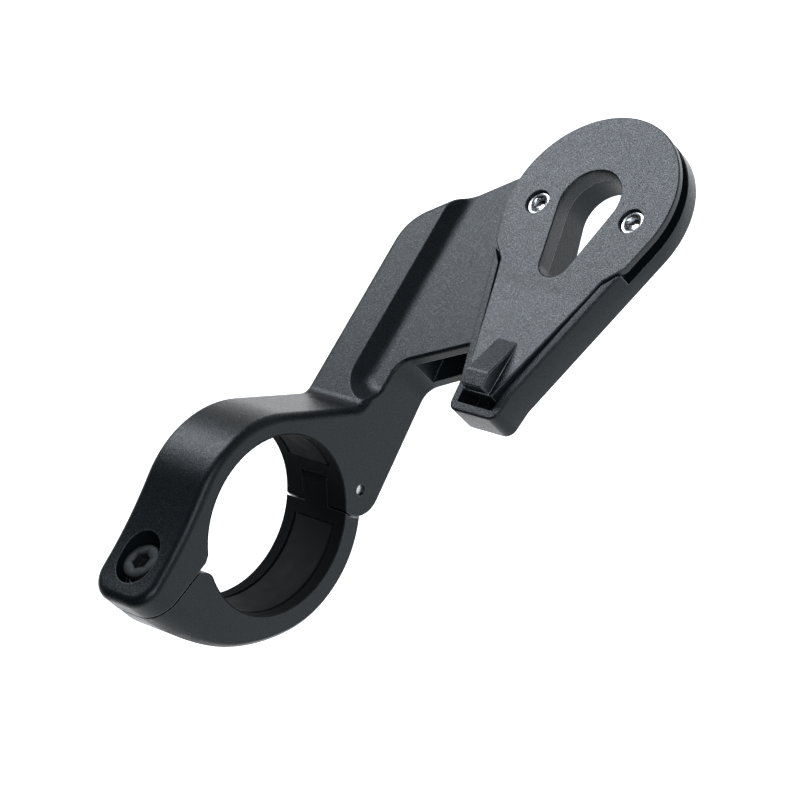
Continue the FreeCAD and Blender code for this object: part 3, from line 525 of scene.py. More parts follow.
def clean_copy(node: str, name: str) -> Item:
    """Copies a CAD node with its corners merged and its flat faces whole.

    Args:
        node: name of the CAD node.
        name: name of the new piece.

    Returns:
        The new piece.
    """
    work = bmesh.new()
    work.from_mesh(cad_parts[node].data)
    bmesh.ops.remove_doubles(work, verts=work.verts, dist=MERGE)
    bmesh.ops.dissolve_limit(work, angle_limit=FLAT_TURN, verts=work.verts, edges=work.edges)
    return settle(add_object(name, work))


@dataclass(frozen=True)
class Ring:
    """One ring of a turned piece, in millimetres."""

    size: float
    height: float
    section: Section = Section.ROUND

    def corners(self, count: int) -> list[Vector]:
        """Gives the ring's points.

        Args:
            count: number of points.

        Returns:
            Points in metres round the piece's own axis.
        """
        points = []
        for place in range(count):
            angle = 2.0 * math.pi * place / count
            reach = self.size
            if self.section is Section.HEXAGON:
                turn = (angle + SIXTH_TURN / 2.0) % SIXTH_TURN - SIXTH_TURN / 2.0
                reach = self.size / 2.0 / math.cos(turn)
            points.append(
                Vector((reach * math.cos(angle), reach * math.sin(angle), self.height)) * MM
            )
        return points


def band(work: Shape, low: Sequence, high: Sequence) -> None:
    """Joins two rings of corners with faces.

    Args:
        work: the shape that has the corners.
        low: one ring.
        high: the other ring.
    """
    count = len(low)
    for place in range(count):
        after = (place + 1) % count
        work.faces.new((low[place], low[after], high[after], high[place]))


def skin(rings: Sequence[Ring], count: int = 48, closed: bool = False) -> Shape:
    """Joins rings into one surface.

    Args:
        rings: the rings in order.
        count: points on each.
        closed: whether the last ring joins the first, or else both are capped.

    Returns:
        The surface.
    """
    work = bmesh.new()
    rows = [[work.verts.new(p) for p in ring.corners(count)] for ring in rings]
    pairs = list(zip(rows, rows[1:]))
    if closed:
        pairs.append((rows[-1], rows[0]))
    for low, high in pairs:
        band(work, low, high)
    if not closed:
        work.faces.new(rows[0])
        work.faces.new(rows[-1])
    return work


class GeometryTree(ABC):
    """A Geometry Nodes tree with named inputs."""

    NAME: ClassVar[str]
    INPUTS: ClassVar[dict[str, str]]

    def __init__(self) -> None:
        """Builds the tree and keeps its inputs' identifiers."""
        self.tree = bpy.data.node_groups.new(self.NAME, "GeometryNodeTree")
        face = self.tree.interface
        self.sockets = {
            label: face.new_socket(name=label, in_out="INPUT", socket_type=kind).identifier
            for label, kind in self.INPUTS.items()
        }
        face.new_socket(name="Geometry", in_out="OUTPUT", socket_type="NodeSocketGeometry")
        sketch = NodeSketch(self.tree)
        self.fill(sketch, sketch.add("NodeGroupInput").outputs)

    @abstractmethod
    def fill(self, sketch: NodeSketch, given: Outputs) -> None:
        """Adds the nodes between the given inputs and the output."""

    def run(self, mesh: bpy.types.Mesh, values: dict[str, object]) -> Item:
        """Runs the tree on a mesh and makes the result plain.

        Args:
            mesh: what the tree starts from; the result has its name.
            values: what each input is set to.

        Returns:
            The result.
        """
        result = new_item(mesh.name, mesh)
        modifier = result.modifiers.new(self.NAME, "NODES")
        modifier.node_group = self.tree
        for label, value in values.items():
            modifier[self.sockets[label]] = value
        bake(result)
        return result


class RidgedRod(GeometryTree):
    """A rod with a thread."""

    NAME = "ridged_rod"
    INPUTS = {
        **dict.fromkeys(("Radius", "Length", "Depth", "Pitch"), "NodeSocketFloat"),
        "Material": "NodeSocketMaterial",
    }
    ROUND_STEPS: ClassVar[int] = 24
    LONG_STEPS: ClassVar[int] = 60
    DEPTH_OF_PITCH: ClassVar[float] = 0.54

    def fill(self, sketch: NodeSketch, given: Outputs) -> None:
        """Adds a rod whose skin is pushed in along a helix."""
        rod = sketch.add(
            "GeometryNodeMeshCylinder",
            {
                "Vertices": self.ROUND_STEPS,
                "Side Segments": self.LONG_STEPS,
                "Radius": given["Radius"],
                "Depth": given["Length"],
            },
        )
        x, y, z = sketch.split(sketch.add("GeometryNodeInputPosition").outputs["Position"])
        angle = sketch.math("DIVIDE", sketch.math("ARCTAN2", y, x), 2.0 * math.pi)
        climb = sketch.math("DIVIDE", z, given["Pitch"])
        phase = sketch.math("SUBTRACT", climb, angle)
        wave = sketch.math("PINGPONG", phase, 0.5)
        cut = sketch.math("MULTIPLY", wave, sketch.math("MULTIPLY", given["Depth"], -2.0))
        flat = sketch.add("ShaderNodeCombineXYZ", {"X": x, "Y": y}).outputs["Vector"]
        outward = sketch.add("ShaderNodeVectorMath", {0: flat}, operation="NORMALIZE")
        scaled = {0: outward.outputs["Vector"], "Scale": cut}
        push = sketch.add("ShaderNodeVectorMath", scaled, operation="SCALE")
        pushed = {"Geometry": rod.outputs["Mesh"], "Offset": push.outputs["Vector"]}
        move = sketch.add("GeometryNodeSetPosition", pushed)
        sketch.hand_out(move.outputs["Geometry"], given["Material"])

    def mesh(
        self, radius: float, top: float, bottom: float, pitch: float, finish: Finish
    ) -> bpy.types.Mesh:
        """Makes one threaded rod along its own axis.

        Args:
            radius: outer radius in millimetres.
            top: height of the upper end.
            bottom: height of the lower end.
            pitch: rise of the thread in a turn.
            finish: the rod's finish.

        Returns:
            The plain mesh.
        """
        values = {
            "Radius": radius * MM,
            "Length": (top - bottom) * MM,
            "Depth": self.DEPTH_OF_PITCH * pitch * MM,
            "Pitch": pitch * MM,
            "Material": finish.material(),
        }
        holder = self.run(bpy.data.meshes.new("rod"), values)
        mesh = holder.data
        bpy.data.objects.remove(holder)
        mesh.transform(Matrix.Translation((0.0, 0.0, (top + bottom) / 2.0 * MM)))
        return mesh


class Repeater(GeometryTree):
    """Copies of one piece on points, each turned at random."""

    NAME = "repeater"
    INPUTS = {
        "Points": "NodeSocketGeometry",
        "Piece": "NodeSocketObject",
        "Material": "NodeSocketMaterial",
    }

    def __init__(self, seed: int) -> None:
        """Builds the tree with the seed of its turns."""
        self.seed = seed
        super().__init__()

    def fill(self, sketch: NodeSketch, given: Outputs) -> None:
        """Adds the copies and their turns."""
        info = sketch.add("GeometryNodeObjectInfo", {"Object": given["Piece"]})
        turn = sketch.add("FunctionNodeRandomValue", {"Seed": self.seed}, data_type="FLOAT")
        numbers = [s for s in turn.inputs if s.type == "VALUE" and s.enabled]
        numbers[0].default_value = 0.0
        numbers[1].default_value = SIXTH_TURN
        result = next(s for s in turn.outputs if s.enabled)
        spin = sketch.add("ShaderNodeCombineXYZ", {"Z": result})
        copies = sketch.add(
            "GeometryNodeInstanceOnPoints",
            {
                "Points": given["Points"],
                "Instance": info.outputs["Geometry"],
                "Rotation": spin.outputs["Vector"],
            },
        )
        sketch.hand_out(copies.outputs["Instances"], given["Material"])

    def spread(self, name: str, piece: Item, points: Sequence[Vector], finish: Finish) -> Item:
        """Sets a piece on points.

        Args:
            name: name of the result.
            piece: the piece, made round its own origin; it is used up.
            points: where it goes, in metres.
            finish: the finish of the result.

        Returns:
            One plain mesh with all the copies.
        """
        mesh = bpy.data.meshes.new(name)
        mesh.from_pydata([tuple(p) for p in points], [], [])
        result = self.run(mesh, {"Piece": piece, "Material": finish.material()})
        bpy.data.objects.remove(piece)
        return result


@dataclass
class SubAssembly(ABC):
    """A group of pieces that is built and dressed together."""

    made: list[str] = field(default_factory=list, init=False)

    @abstractmethod
    def build(self) -> None:
        """Builds the pieces, gives each its finish, and attaches most of them to a body."""

    def dress(self, piece: Item, finish: Finish, *nodes: str) -> Item:
        """Gives a piece its finish and hides the CAD nodes it stands for.

        Args:
            piece: the finished mesh.
            finish: its finish.
            nodes: the CAD nodes that it shows.

        Returns:
            The same piece.
        """
        piece.data.materials.clear()
        piece.data.materials.append(finish.material())
        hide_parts(*nodes)
        self.made.append(piece.name)
        log.info("%s: %s, %d faces", type(self).__name__, piece.name, len(piece.data.polygons))
        return piece


@dataclass
class ClampMoulding(SubAssembly):
    """The arm with the upper clamp half, and the lower jaw."""

    def build(self) -> None:
        """Builds both mouldings."""
        arm = self.dress(clean_copy("arm_body", "arm_moulding"), ARM_PLASTIC, "arm_body")
        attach(arm, Body.ARM.value)
        jaw = self.dress(clean_copy("lower_jaw", "jaw_moulding"), ARM_PLASTIC, "lower_jaw")
        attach(jaw, Body.JAW.value)


@dataclass
class GripPads(SubAssembly):
    """The two rubber pads in the bore of the clamp."""

    def build(self) -> None:
        """Builds both pads."""
        upper = self.dress(clean_copy("upper_pad", "upper_grip"), PAD_RUBBER, "upper_pad")
        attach(upper, Body.ARM.value)
        lower = self.dress(clean_copy("lower_pad", "lower_grip"), PAD_RUBBER, "lower_pad")
        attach(lower, Body.JAW.value)


@dataclass
class ClampHardware(SubAssembly):
    """Bolt, washer, nut and hinge pin.

    Sizes in millimetres, heights along the bolt. A pair says how far across and how far along.
    """

    rod: RidgedRod = field(default_factory=RidgedRod)
    origin: Point3 = (0.0, -18.9, 11.3)
    tilt: float = 10.0
    head_foot: float = 2.7
    head_height: float = 2.6
    head_radius: float = 3.4
    head_chamfer: float = 0.25
    head_edge: tuple[Point2, ...] = ((0.0, 0.24), (0.07, 0.07), (0.24, 0.0))
    head_points: int = 72
    head_lap: float = 0.1
    key_width: float = 3.0
    key_depth: float = 1.7
    key_chamfer: float = 0.1
    key_point: Point2 = (0.3, 0.35)
    shank_radius: float = 2.0
    shank_end: float = -5.3
    pitch: float = 0.7
    nut_top: float = -2.2
    nut_height: float = 3.2
    nut_width: float = 7.0
    nut_corner: Point2 = (0.1, 0.3)
    nut_lead: Point2 = (0.3, 0.35)
    nut_thread: float = 0.3

    def placing(self) -> Matrix:
        """Gives the move from the bolt's own axis to the frame."""
        return Matrix.Translation(Vector(self.origin) * MM) @ Matrix.Rotation(
            math.radians(-self.tilt), 4, "X"
        )

    def build(self) -> None:
        """Builds the four pieces."""
        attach(self.dress(self._bolt(), BLACK_STEEL, "clamp_bolt"), Body.BOLT.value)
        washer = self.dress(clean_copy("bolt_washer", "washer_ring"), BRIGHT_STEEL, "bolt_washer")
        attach(washer, Body.WASHER.value)
        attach(self.dress(self._nut(), BRIGHT_STEEL, "clamp_nut"), Body.JAW.value)
        pin = self.dress(clean_copy("hinge_pin", "hinge_rod"), BRIGHT_STEEL, "hinge_pin")
        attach(pin, Body.ARM.value)

    def _bolt(self) -> Item:
        """Builds the socket head bolt with its thread."""
        top = self.head_foot + self.head_height
        key_circle = self.key_width / math.sqrt(3.0)
        point, deep = self.key_point
        edge = [Ring(self.head_radius - inset, top - drop) for inset, drop in self.head_edge]
        head = skin(
            (
                Ring(self.head_radius - self.head_chamfer, self.head_foot),
                Ring(self.head_radius, self.head_foot + self.head_chamfer),
                *edge,
                Ring(key_circle + self.key_chamfer, top),
                Ring(self.key_width, top - self.key_chamfer, Section.HEXAGON),
                Ring(self.key_width, top - self.key_depth, Section.HEXAGON),
                Ring(point, top - self.key_depth - deep),
            ),
            count=self.head_points,
        )
        start = self.head_foot + self.head_lap
        head.from_mesh(
            self.rod.mesh(self.shank_radius, start, self.shank_end, self.pitch, BLACK_STEEL)
        )
        head.transform(self.placing())
        return settle(add_object("socket_bolt", head), TURNED_SHARP)

    def _nut(self) -> Item:
        """Builds the captive nut with its chamfered corners."""
        foot = self.nut_top - self.nut_height
        bore = self.shank_radius - self.nut_thread
        inset, rise = self.nut_corner
        lead, deep = self.nut_lead
        rim = self.nut_width / 2.0 - inset
        nut = skin(
            (
                Ring(bore + lead, foot),
                Ring(rim, foot),
                Ring(self.nut_width, foot + rise, Section.HEXAGON),
                Ring(self.nut_width, self.nut_top - rise, Section.HEXAGON),
                Ring(rim, self.nut_top),
                Ring(bore + lead, self.nut_top),
                Ring(bore, self.nut_top - deep),
                Ring(bore, foot + deep),
            ),
            closed=True,
        )
        nut.transform(self.placing())
        return settle(add_object("captive_nut", nut), NUT_SHARP)


@dataclass(frozen=True)
class Rim:
    """One edge of a sheet, anticlockwise, and how its two corners are rounded, in millimetres."""

    TIGHTEST: ClassVar[float] = 0.3

    outline: tuple[Point2, ...]
    opening: bool = False
    top_round: float = 0.25
    foot_round: float = 0.0
    turns: int = 3

    def moved(self, inset: float) -> list[Point2]:
        """Moves the outline into the sheet.

        Args:
            inset: how far.

        Returns:
            The moved corners.
        """
        away = -inset if self.opening else inset
        count = len(self.outline)
        corners = []
        for place, (x, y) in enumerate(self.outline):
            before = Vector(self.outline[place - 1])
            after = Vector(self.outline[(place + 1) % count])
            here = Vector((x, y))
            arrive = (here - before).normalized()
            leave = (after - here).normalized()
            inward = Vector((-arrive.y - leave.y, arrive.x + leave.x)).normalized()
            square = max(inward.dot(Vector((-leave.y, leave.x))), self.TIGHTEST)
            corners.append(tuple(here + inward * (away / square)))
        return corners

    def _steps(self, reach: float) -> list[Point2]:
        """Gives how far each ring of a rounded corner lies in and down.

        Args:
            reach: the corner's radius, or nothing for a square corner.

        Returns:
            The steps from the face to the side.
        """
        if not reach:
            return [(0.0, 0.0)]
        angles = [math.pi / 2.0 * place / self.turns for place in range(self.turns + 1)]
        return [(reach * (1.0 - math.sin(a)), reach * (1.0 - math.cos(a))) for a in angles]

    def rings(self, top: float, foot: float) -> list[list[Vector]]:
        """Gives the rings of points down the edge.

        Args:
            top: height of the sheet's upper face.
            foot: height of its lower face.

        Returns:
            The rings from the top to the foot, in metres.
        """
        levels = [(inset, top - drop) for inset, drop in self._steps(self.top_round)]
        levels += [(inset, foot + drop) for inset, drop in reversed(self._steps(self.foot_round))]
        return [
            [Vector((x, y, height)) * MM for x, y in self.moved(inset)] for inset, height in levels
        ]


def sheet(rims: Sequence[Rim], top: float, foot: float) -> Shape:
    """Makes a flat sheet between its edges.

    Args:
        rims: the outer edge and the openings.
        top: height of the upper face in millimetres.
        foot: height of the lower face.

    Returns:
        The closed sheet.
    """
    work = bmesh.new()
    caps: tuple[list, list] = ([], [])
    for rim in rims:
        rows = [[work.verts.new(point) for point in ring] for ring in rim.rings(top, foot)]
        for high, low in zip(rows, rows[1:]):
            band(work, low, high)
        for cap, row in zip(caps, (rows[0], rows[-1])):
            pairs = zip(row, row[1:] + row[:1])
            cap.extend(work.edges.get(pair) for pair in pairs)
    for cap in caps:
        bmesh.ops.triangle_fill(work, use_beauty=True, use_dissolve=False, edges=cap)
    bmesh.ops.recalc_face_normals(work, faces=work.faces)
    return work


def unite(first: Shape, second: Shape) -> Shape:
    """Unites two closed shapes into one.

    Args:
        first: one shape, freed here.
        second: the other shape, freed here.

    Returns:
        The closed union.
    """
    whole = add_object("whole", first)
    extra = add_object("extra", second)
    union = whole.modifiers.new("union", "BOOLEAN")
    union.operation = "UNION"
    union.solver = "EXACT"
    union.object = extra
    bake(whole)
    work = bmesh.new()
    work.from_mesh(whole.data)
    for used in (whole, extra):
        bpy.data.objects.remove(used)
    bmesh.ops.remove_doubles(work, verts=work.verts, dist=MERGE)
    return work


def arc(reach: float, middle: Point2, start: float, sweep: float, steps: int) -> list[Point2]:
    """Gives points along an arc from its start angle, in radians, both ends included."""
    turns = [start + sweep * place / steps for place in range(steps + 1)]
    return [(middle[0] + reach * math.cos(a), middle[1] + reach * math.sin(a)) for a in turns]


@dataclass
class DeviceRail(SubAssembly):
    """The round plate with its keyhole and the sprung tongue, one moulding.

    Sizes in millimetres from the middle of the platform, heights in the frame. The cuts and the
    lift start ahead of the tongue's root.
    """

    centre: Point2 = PLATFORM
    top: float = -2.15
    radius: float = 17.5
    round_centre: float = 2.0
    flank_angle: float = 18.0
    stop: float = 8.9
    step: float = 12.1
    step_inset: float = 2.05
    tongue_root: float = 16.6
    tongue_end: float = 37.7
    tongue_lap: float = 1.0
    tongue_cover: float = 0.6
    flange: float = 1.3
    foot_round: float = 0.2
    tongue_depth: float = 1.8
    lift: float = 2.7
    lift_start: float = 2.0
    lift_length: float = 4.0
    lift_slack: float = 0.1
    pivot_height: float = -3.05
    bend_half: float = 3.0
    cuts: int = 13
    cut_start: float = 3.6
    cut_step: float = 0.6
    stem_inset: float = 2.2
    stem_foot: float = -5.45
    stem_rear: float = 14.8
    key_wide: Point2 = (6.2, 2.2)
    key_narrow: Point2 = (3.25, -10.2)
    screw_reach: float = 10.75
    screw_radius: float = 2.35
    screw_round: float = 0.5
    tab: Point3 = (26.9, 34.8, 37.6)
    tab_rise: float = 2.55
    tab_half: float = 2.5
    tab_foot_half: float = 2.75
    tab_fall: float = 0.4
    tab_sink: float = 0.3
    tab_lead: Point2 = (0.05, 0.02)
    tab_splay: float = 0.72
    tab_low: float = 0.5
    tab_edge: float = 0.2
    arc_steps: int = 64
    key_steps: tuple[int, int] = (40, 24)
    hole_steps: int = 32

    def build(self) -> None:
        """Builds the moulding with its tongue bent up at its root."""
        edge = Rim(tuple(self.outline()), foot_round=self.foot_round)
        plate = sheet((edge, *self.openings()), self.top, self.top - self.flange)
        tongue_top = self.top - self.tongue_cover
        tongue = sheet((self._tongue(),), tongue_top, self.top - self.tongue_depth)
        stem = sheet(self._stem(), self.top - self.flange, self.stem_foot)
        plate = unite(unite(plate, tongue), stem)
        plate.from_mesh(self._ramp())
        self._cross_cut(plate)
        self._raise(plate)
        plate.transform(Matrix.Translation(Vector((*self.centre, 0.0)) * MM))
        piece = settle(add_object("device_rail", plate))
        self.dress(piece, RAIL_PLASTIC, "rail_plate", "latch_tongue")
        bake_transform(piece)

    def flank(self, ahead: float, inset: float = 0.0) -> float:
        """Gives the half width of the plate at a distance ahead, some way inside its edge."""
        lean = math.radians(self.flank_angle)
        return (self.radius - inset + (ahead - self.round_centre) * math.sin(lean)) / math.cos(lean)

    def _front(self, inset: float) -> list[Point2]:
        """Gives the round front edge, from right to left."""
        lean = math.radians(self.flank_angle)
        middle = (0.0, self.round_centre)
        return arc(self.radius - inset, middle, -lean, math.pi + 2.0 * lean, self.arc_steps)

    def outline(self) -> list[Point2]:
        """Gives the edge of plate and tongue."""
        left = [
            (-self.flank(-self.stop), -self.stop),
            (-self.flank(-self.step, self.step_inset), -self.step),
            (-self.flank(-self.tongue_end, self.step_inset), -self.tongue_end),
        ]
        return self._front(0.0) + left + [(-x, y) for x, y in reversed(left)]

    def _tongue(self) -> Rim:
        """Gives the edge of the thicker tongue."""
        front = -self.step - self.tongue_lap
        rear = -self.tongue_end
        wide = self.flank(front, self.step_inset)
        thin = self.flank(rear, self.step_inset)
        corners = ((wide, front), (-wide, front), (-thin, rear), (thin, rear))
        return Rim(corners, foot_round=self.foot_round)

    def _stem(self) -> tuple[Rim, ...]:
        """Gives the edges of the stem under the flange."""
        wide = self.flank(-self.stem_rear, self.stem_inset)
        edge = self._front(self.stem_inset) + [(-wide, -self.stem_rear), (wide, -self.stem_rear)]
        return (Rim(tuple(edge), top_round=0.0), *self.openings(0.0))

    def openings(self, top_round: float = Rim.top_round) -> tuple[Rim, ...]:
        """Gives the keyhole and the two screw holes."""
        wide, wide_at = self.key_wide
        narrow, narrow_at = self.key_narrow
        lean = math.asin((wide - narrow) / (wide_at - narrow_at))
        wide_steps, narrow_steps = self.key_steps
        key = arc(wide, (0.0, wide_at), -lean, math.pi + 2.0 * lean, wide_steps)
        key += arc(narrow, (0.0, narrow_at), math.pi + lean, math.pi - 2.0 * lean, narrow_steps)
        rims = [Rim(tuple(key), opening=True, top_round=top_round)]
        for across in (self.screw_reach, -self.screw_reach):
            hole = arc(self.screw_radius, (across, 0.0), 0.0, 2.0 * math.pi, self.hole_steps)
            rims.append(Rim(tuple(hole[:-1]), opening=True, top_round=top_round * self.screw_round))
        return tuple(rims)

    def _ramp(self) -> bpy.types.Mesh:
        """Builds the ramped tab on the tongue, with crisp facets."""
        front, crest, rear = self.tab
        foot = self.top - self.tab_sink
        rise = self.top + self.tab_rise
        wide = self.tab_half
        splay = self.tab_foot_half
        middle = wide + (splay - wide) * self.tab_splay
        inset, start = self.tab_lead
        sections = (
            ((wide, foot), (wide - inset, self.top + start)),
            ((middle, foot), (wide, rise)),
            ((splay, foot), (wide, rise - self.tab_fall)),
        )
        work = bmesh.new()
        rows = []
        for back, ((low, z_low), (high, z_high)) in zip((front, crest, rear), sections):
            corners = ((-low, z_low), (low, z_low), (high, z_high), (-high, z_high))
            rows.append([work.verts.new(Vector((x, -back, z)) * MM) for x, z in corners])
        for near, far in zip(rows, rows[1:]):
            band(work, near, far)
        work.faces.new(rows[0])
        work.faces.new(rows[-1])
        bmesh.ops.recalc_face_normals(work, faces=work.faces)
        low = (self.top + self.tab_low) * MM
        upper = [edge for edge in work.edges if max(vert.co.z for vert in edge.verts) > low]
        reach = self.tab_edge * MM
        bmesh.ops.bevel(work, geom=upper, offset=reach, segments=1, profile=0.5, affect="EDGES")
        for edge in work.edges:
            edge.smooth = False
        mesh = bpy.data.meshes.new("ramp")
        work.to_mesh(mesh)
        work.free()
        return mesh

    def _cross_cut(self, plate: Shape) -> None:
        """Cuts the sheet across where the tongue bends, and clears the slivers this leaves."""
        for place in range(self.cuts):
            back = self.tongue_root - self.cut_start + place * self.cut_step
            bmesh.ops.bisect_plane(
                plate,
                geom=plate.verts[:] + plate.edges[:] + plate.faces[:],
                plane_co=Vector((0.0, -back, 0.0)) * MM,
                plane_no=(0.0, 1.0, 0.0),
                dist=SLIVER,
            )
        bmesh.ops.remove_doubles(plate, verts=plate.verts, dist=SLIVER)
        bmesh.ops.triangulate(plate, faces=plate.faces)
        bmesh.ops.dissolve_degenerate(plate, dist=SLIVER, edges=plate.edges)

    def _raise(self, plate: Shape) -> None:
        """Lifts the tongue about its root, bent over a short length."""
        pivot = Vector((0.0, -self.tongue_root, self.pivot_height)) * MM
        lowest = self.top - self.tongue_depth - self.lift_slack
        for vert in plate.verts:
            past = -vert.co.y / MM - (self.tongue_root - self.lift_start)
            share = min(max(past / self.lift_length, 0.0), 1.0)
            if share <= 0.0 or vert.co.z / MM < lowest:
                continue
            turn = math.radians(self.lift) * share * share * (3.0 - 2.0 * share)
            vert.co = pivot + Matrix.Rotation(-turn, 3, "X") @ (vert.co - pivot)


@dataclass
class PlateFixings(SubAssembly):
    """The two countersunk screws of the plate and their inserts.

    Sizes in millimetres. A pair says how far across and how far down.
    """

    rod: RidgedRod = field(default_factory=RidgedRod)
    centre: Point2 = PLATFORM
    reach: float = 10.75
    top: float = -2.75
    head_radius: float = 2.3
    head_edge: tuple[Point2, ...] = ((0.0, 0.22), (0.03, 0.07), (0.14, 0.0), (0.3, 0.01))
    head_land: float = 0.15
    neck: float = 0.1
    dish: float = 0.04
    shank_radius: float = 1.25
    length: float = 5.1
    key_width: float = 2.4
    key_depth: float = 0.85
    key_edge: tuple[Point2, ...] = ((0.16, 0.0), (0.03, 0.12))
    key_start: float = 0.3
    key_point: Point2 = (0.15, 0.55)
    pitch: float = 0.45
    seed: int = 7

    def build(self) -> None:
        """Builds the screws on their two points, and the inserts."""
        x, y = self.centre
        points = [Vector((x + side * self.reach, y, self.top)) * MM for side in (-1.0, 1.0)]
        screws = Repeater(self.seed).spread("rail_screws", self._screw(), points, BRIGHT_STEEL)
        self.dress(screws, BRIGHT_STEEL, "plate_screws")
        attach(screws, Body.ARM.value)
        inserts = self.dress(
            clean_copy("screw_inserts", "base_inserts"), INSERT_BRASS, "screw_inserts"
        )
        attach(inserts, Body.ARM.value)

    def _screw(self) -> Item:
        """Builds one screw with its head's top at the origin."""
        key_circle = self.key_width / math.sqrt(3.0)
        cone_foot = -(self.head_radius - self.shank_radius) - self.head_land
        point, deep = self.key_point
        edge = [Ring(self.head_radius - inset, -drop) for inset, drop in self.head_edge]
        lip = [Ring(key_circle + out, -self.dish - drop) for out, drop in self.key_edge]
        screw = skin(
            (
                Ring(self.shank_radius - self.neck, cone_foot - self.neck),
                Ring(self.shank_radius, cone_foot),
                *edge,
                *lip,
                Ring(self.key_width, -self.dish - self.key_start, Section.HEXAGON),
                Ring(self.key_width, -self.key_depth, Section.HEXAGON),
                Ring(point, -self.key_depth - deep),
            )
        )
        screw.from_mesh(
            self.rod.mesh(self.shank_radius, cone_foot, -self.length, self.pitch, BRIGHT_STEEL)
        )
        return settle(add_object("one_screw", screw), TURNED_SHARP)


@dataclass
class SoftBox:
    """A rectangular area light that faces a point, its width along one axis. Lengths in metres."""

    name: str
    direction: Point3
    distance: float
    width: float
    height: float
    radiance: float
    colour: Colour = (1.0, 1.0, 1.0)
    across: Point3 = (1.0, 0.0, 0.0)

    def build(self, target: Vector) -> None:
        """Adds the light.

        Args:
            target: the point it faces.
        """
        light = bpy.data.lights.new(self.name, "AREA")
        light.shape = "RECTANGLE"
        light.size = self.width
        light.size_y = self.height
        light.energy = self.radiance * math.pi * self.width * self.height
        light.color = self.colour
        holder = new_item(self.name, light)
        away = Vector(self.direction).normalized()
        across = Vector(self.across)
        across = (across - away * across.dot(away)).normalized()
        holder.location = target + away * self.distance
        holder.rotation_euler = Matrix((across, away.cross(across), away)).transposed().to_euler()


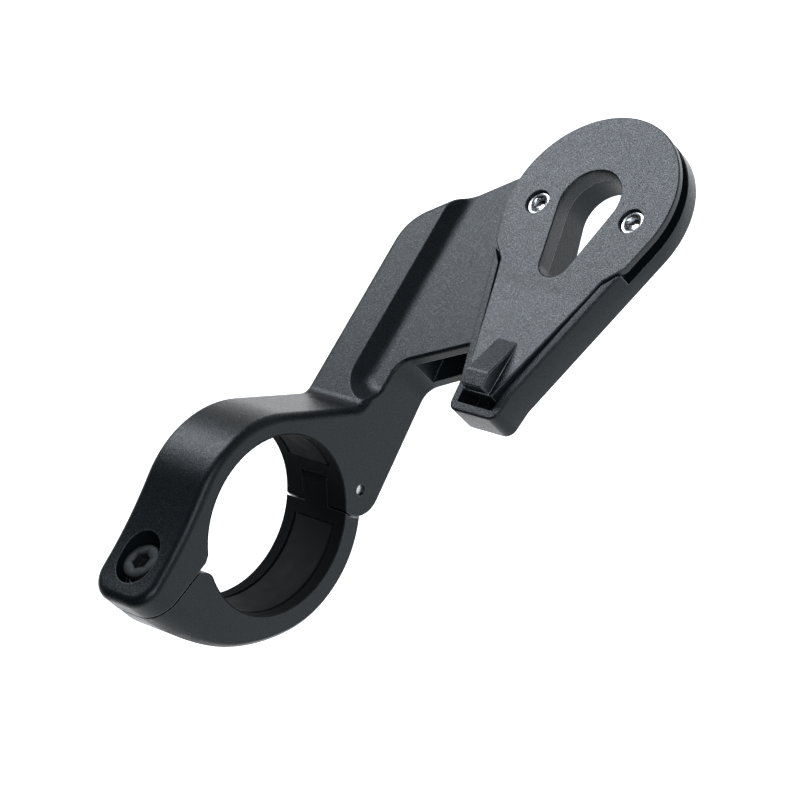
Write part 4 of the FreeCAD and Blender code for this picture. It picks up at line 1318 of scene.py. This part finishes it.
@dataclass
class Studio:
    """Camera, lights, world and floor. Lengths in metres."""

    lens: float = 134.129
    sensor: float = 36.0
    eye: Point3 = (0.3645287, -0.0991878, 0.350014)
    right: Point3 = (0.704299, 0.480022, -0.523013)
    up: Point3 = (-0.199526, 0.84089, 0.503084)
    back: Point3 = (0.681287, -0.249967, 0.688015)
    target: Point3 = (0.016, 0.035, -0.004)
    floor_height: float = -0.12
    floor_size: float = 6.0
    # Emission of the floor: a painted pool of light, falling from glow to dusk over the reach
    floor_glow: float = 0.90
    floor_dusk: float = 0.58
    floor_reach: Point2 = (0.22, 1.10)
    floor_colour: Colour = (0.82, 0.82, 0.82)
    floor_roughness: float = 0.9
    floor_specular: float = 0.1
    floor_points: int = 64
    sky_low: float = 0.62
    sky_high: float = 0.03
    sky_rear: float = 0.12
    sky_fade: Point2 = (0.22, 0.55)
    sky_turn: Point2 = (-0.55, 0.35)
    clip_start: float = 0.01
    boxes: tuple[SoftBox, ...] = (
        SoftBox(
            name="key_strip",
            direction=(-0.55, 0.47, 0.69),
            distance=0.55,
            width=0.46,
            height=0.15,
            radiance=14.8,
            colour=(0.90, 0.94, 1.0),
        ),
        SoftBox(
            name="fill_box",
            direction=(0.70, -0.26, 0.67),
            distance=0.62,
            width=0.40,
            height=0.20,
            radiance=11.0,
            colour=(0.90, 0.95, 1.0),
            across=(0.0, 1.0, 0.0),
        ),
    )

    def build(self) -> None:
        """Builds the whole studio."""
        self._camera()
        self._world()
        self._floor()
        for box in self.boxes:
            box.build(Vector(self.target))

    def _camera(self) -> None:
        """Adds the camera at the photograph's viewpoint."""
        data = bpy.data.cameras.new("camera")
        data.lens = self.lens
        data.sensor_width = self.sensor
        data.dof.use_dof = False
        data.clip_start = self.clip_start
        camera = new_item("camera", data)
        turn = Matrix((self.right, self.up, self.back)).transposed()
        camera.matrix_world = Matrix.LocRotScale(Vector(self.eye), turn.to_quaternion(), None)
        bpy.context.scene.camera = camera

    def _world(self) -> None:
        """Adds a world that is pale at the horizon ahead, and dim overhead and behind."""
        world = bpy.data.worlds.new("studio")
        world.use_nodes = True
        world.node_tree.nodes.clear()
        sketch = NodeSketch(world.node_tree)
        coords = sketch.add("ShaderNodeTexCoord").outputs["Generated"]
        _, y, z = sketch.split(coords)
        fade = sketch.ranged(z, self.sky_fade, (self.sky_low, self.sky_high), eased=True)
        rear = sketch.ranged(y, self.sky_turn, (self.sky_rear, 1.0), eased=True)
        strength = sketch.math("MULTIPLY", fade, rear)
        light = sketch.add("ShaderNodeBackground", {"Strength": strength})
        sketch.add("ShaderNodeOutputWorld", {"Surface": light.outputs["Background"]})
        bpy.context.scene.world = world
        bpy.context.scene.view_settings.view_transform = "Standard"
        bpy.context.scene.view_settings.look = "None"

    def _floor(self) -> None:
        """Adds a pale floor whose emission is a painted pool of light, brightest under the part."""
        work = bmesh.new()
        bmesh.ops.create_circle(
            work, cap_ends=True, segments=self.floor_points, radius=self.floor_size
        )
        work.transform(Matrix.Translation((0.0, 0.0, self.floor_height)))
        floor = add_object("studio_floor", work)
        if floor.data.polygons[0].normal.z < 0.0:
            floor.data.flip_normals()
        material = bpy.data.materials.new("studio_floor")
        material.use_nodes = True
        shader = material.node_tree.nodes["Principled BSDF"]
        sketch = NodeSketch(material.node_tree)
        middle = sketch.add("ShaderNodeTexCoord").outputs["Object"]
        away = sketch.add("ShaderNodeVectorMath", {0: middle}, operation="LENGTH")
        levels = (self.floor_glow, self.floor_dusk)
        glow = sketch.ranged(away.outputs["Value"], self.floor_reach, levels, eased=True)
        values = {
            "Base Color": (*self.floor_colour, 1.0),
            "Roughness": self.floor_roughness,
            "Specular IOR Level": self.floor_specular,
            "Emission Color": (1.0, 1.0, 1.0, 1.0),
            "Emission Strength": glow,
        }
        for label, value in values.items():
            sketch.feed(value, shader.inputs[label])
        floor.data.materials.append(material)


def main() -> None:
    """Builds every sub-assembly and the studio."""
    logging.basicConfig(level=logging.INFO, format="%(name)s %(message)s")
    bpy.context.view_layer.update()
    rod = RidgedRod()
    assemblies: list[SubAssembly] = [
        ClampMoulding(),
        GripPads(),
        ClampHardware(rod=rod),
        DeviceRail(),
        PlateFixings(rod=rod),
    ]
    for assembly in assemblies:
        assembly.build()
        log.info("%s has %d pieces", type(assembly).__name__, len(assembly.made))
    Studio().build()


if __name__ == "__main__":
    main()
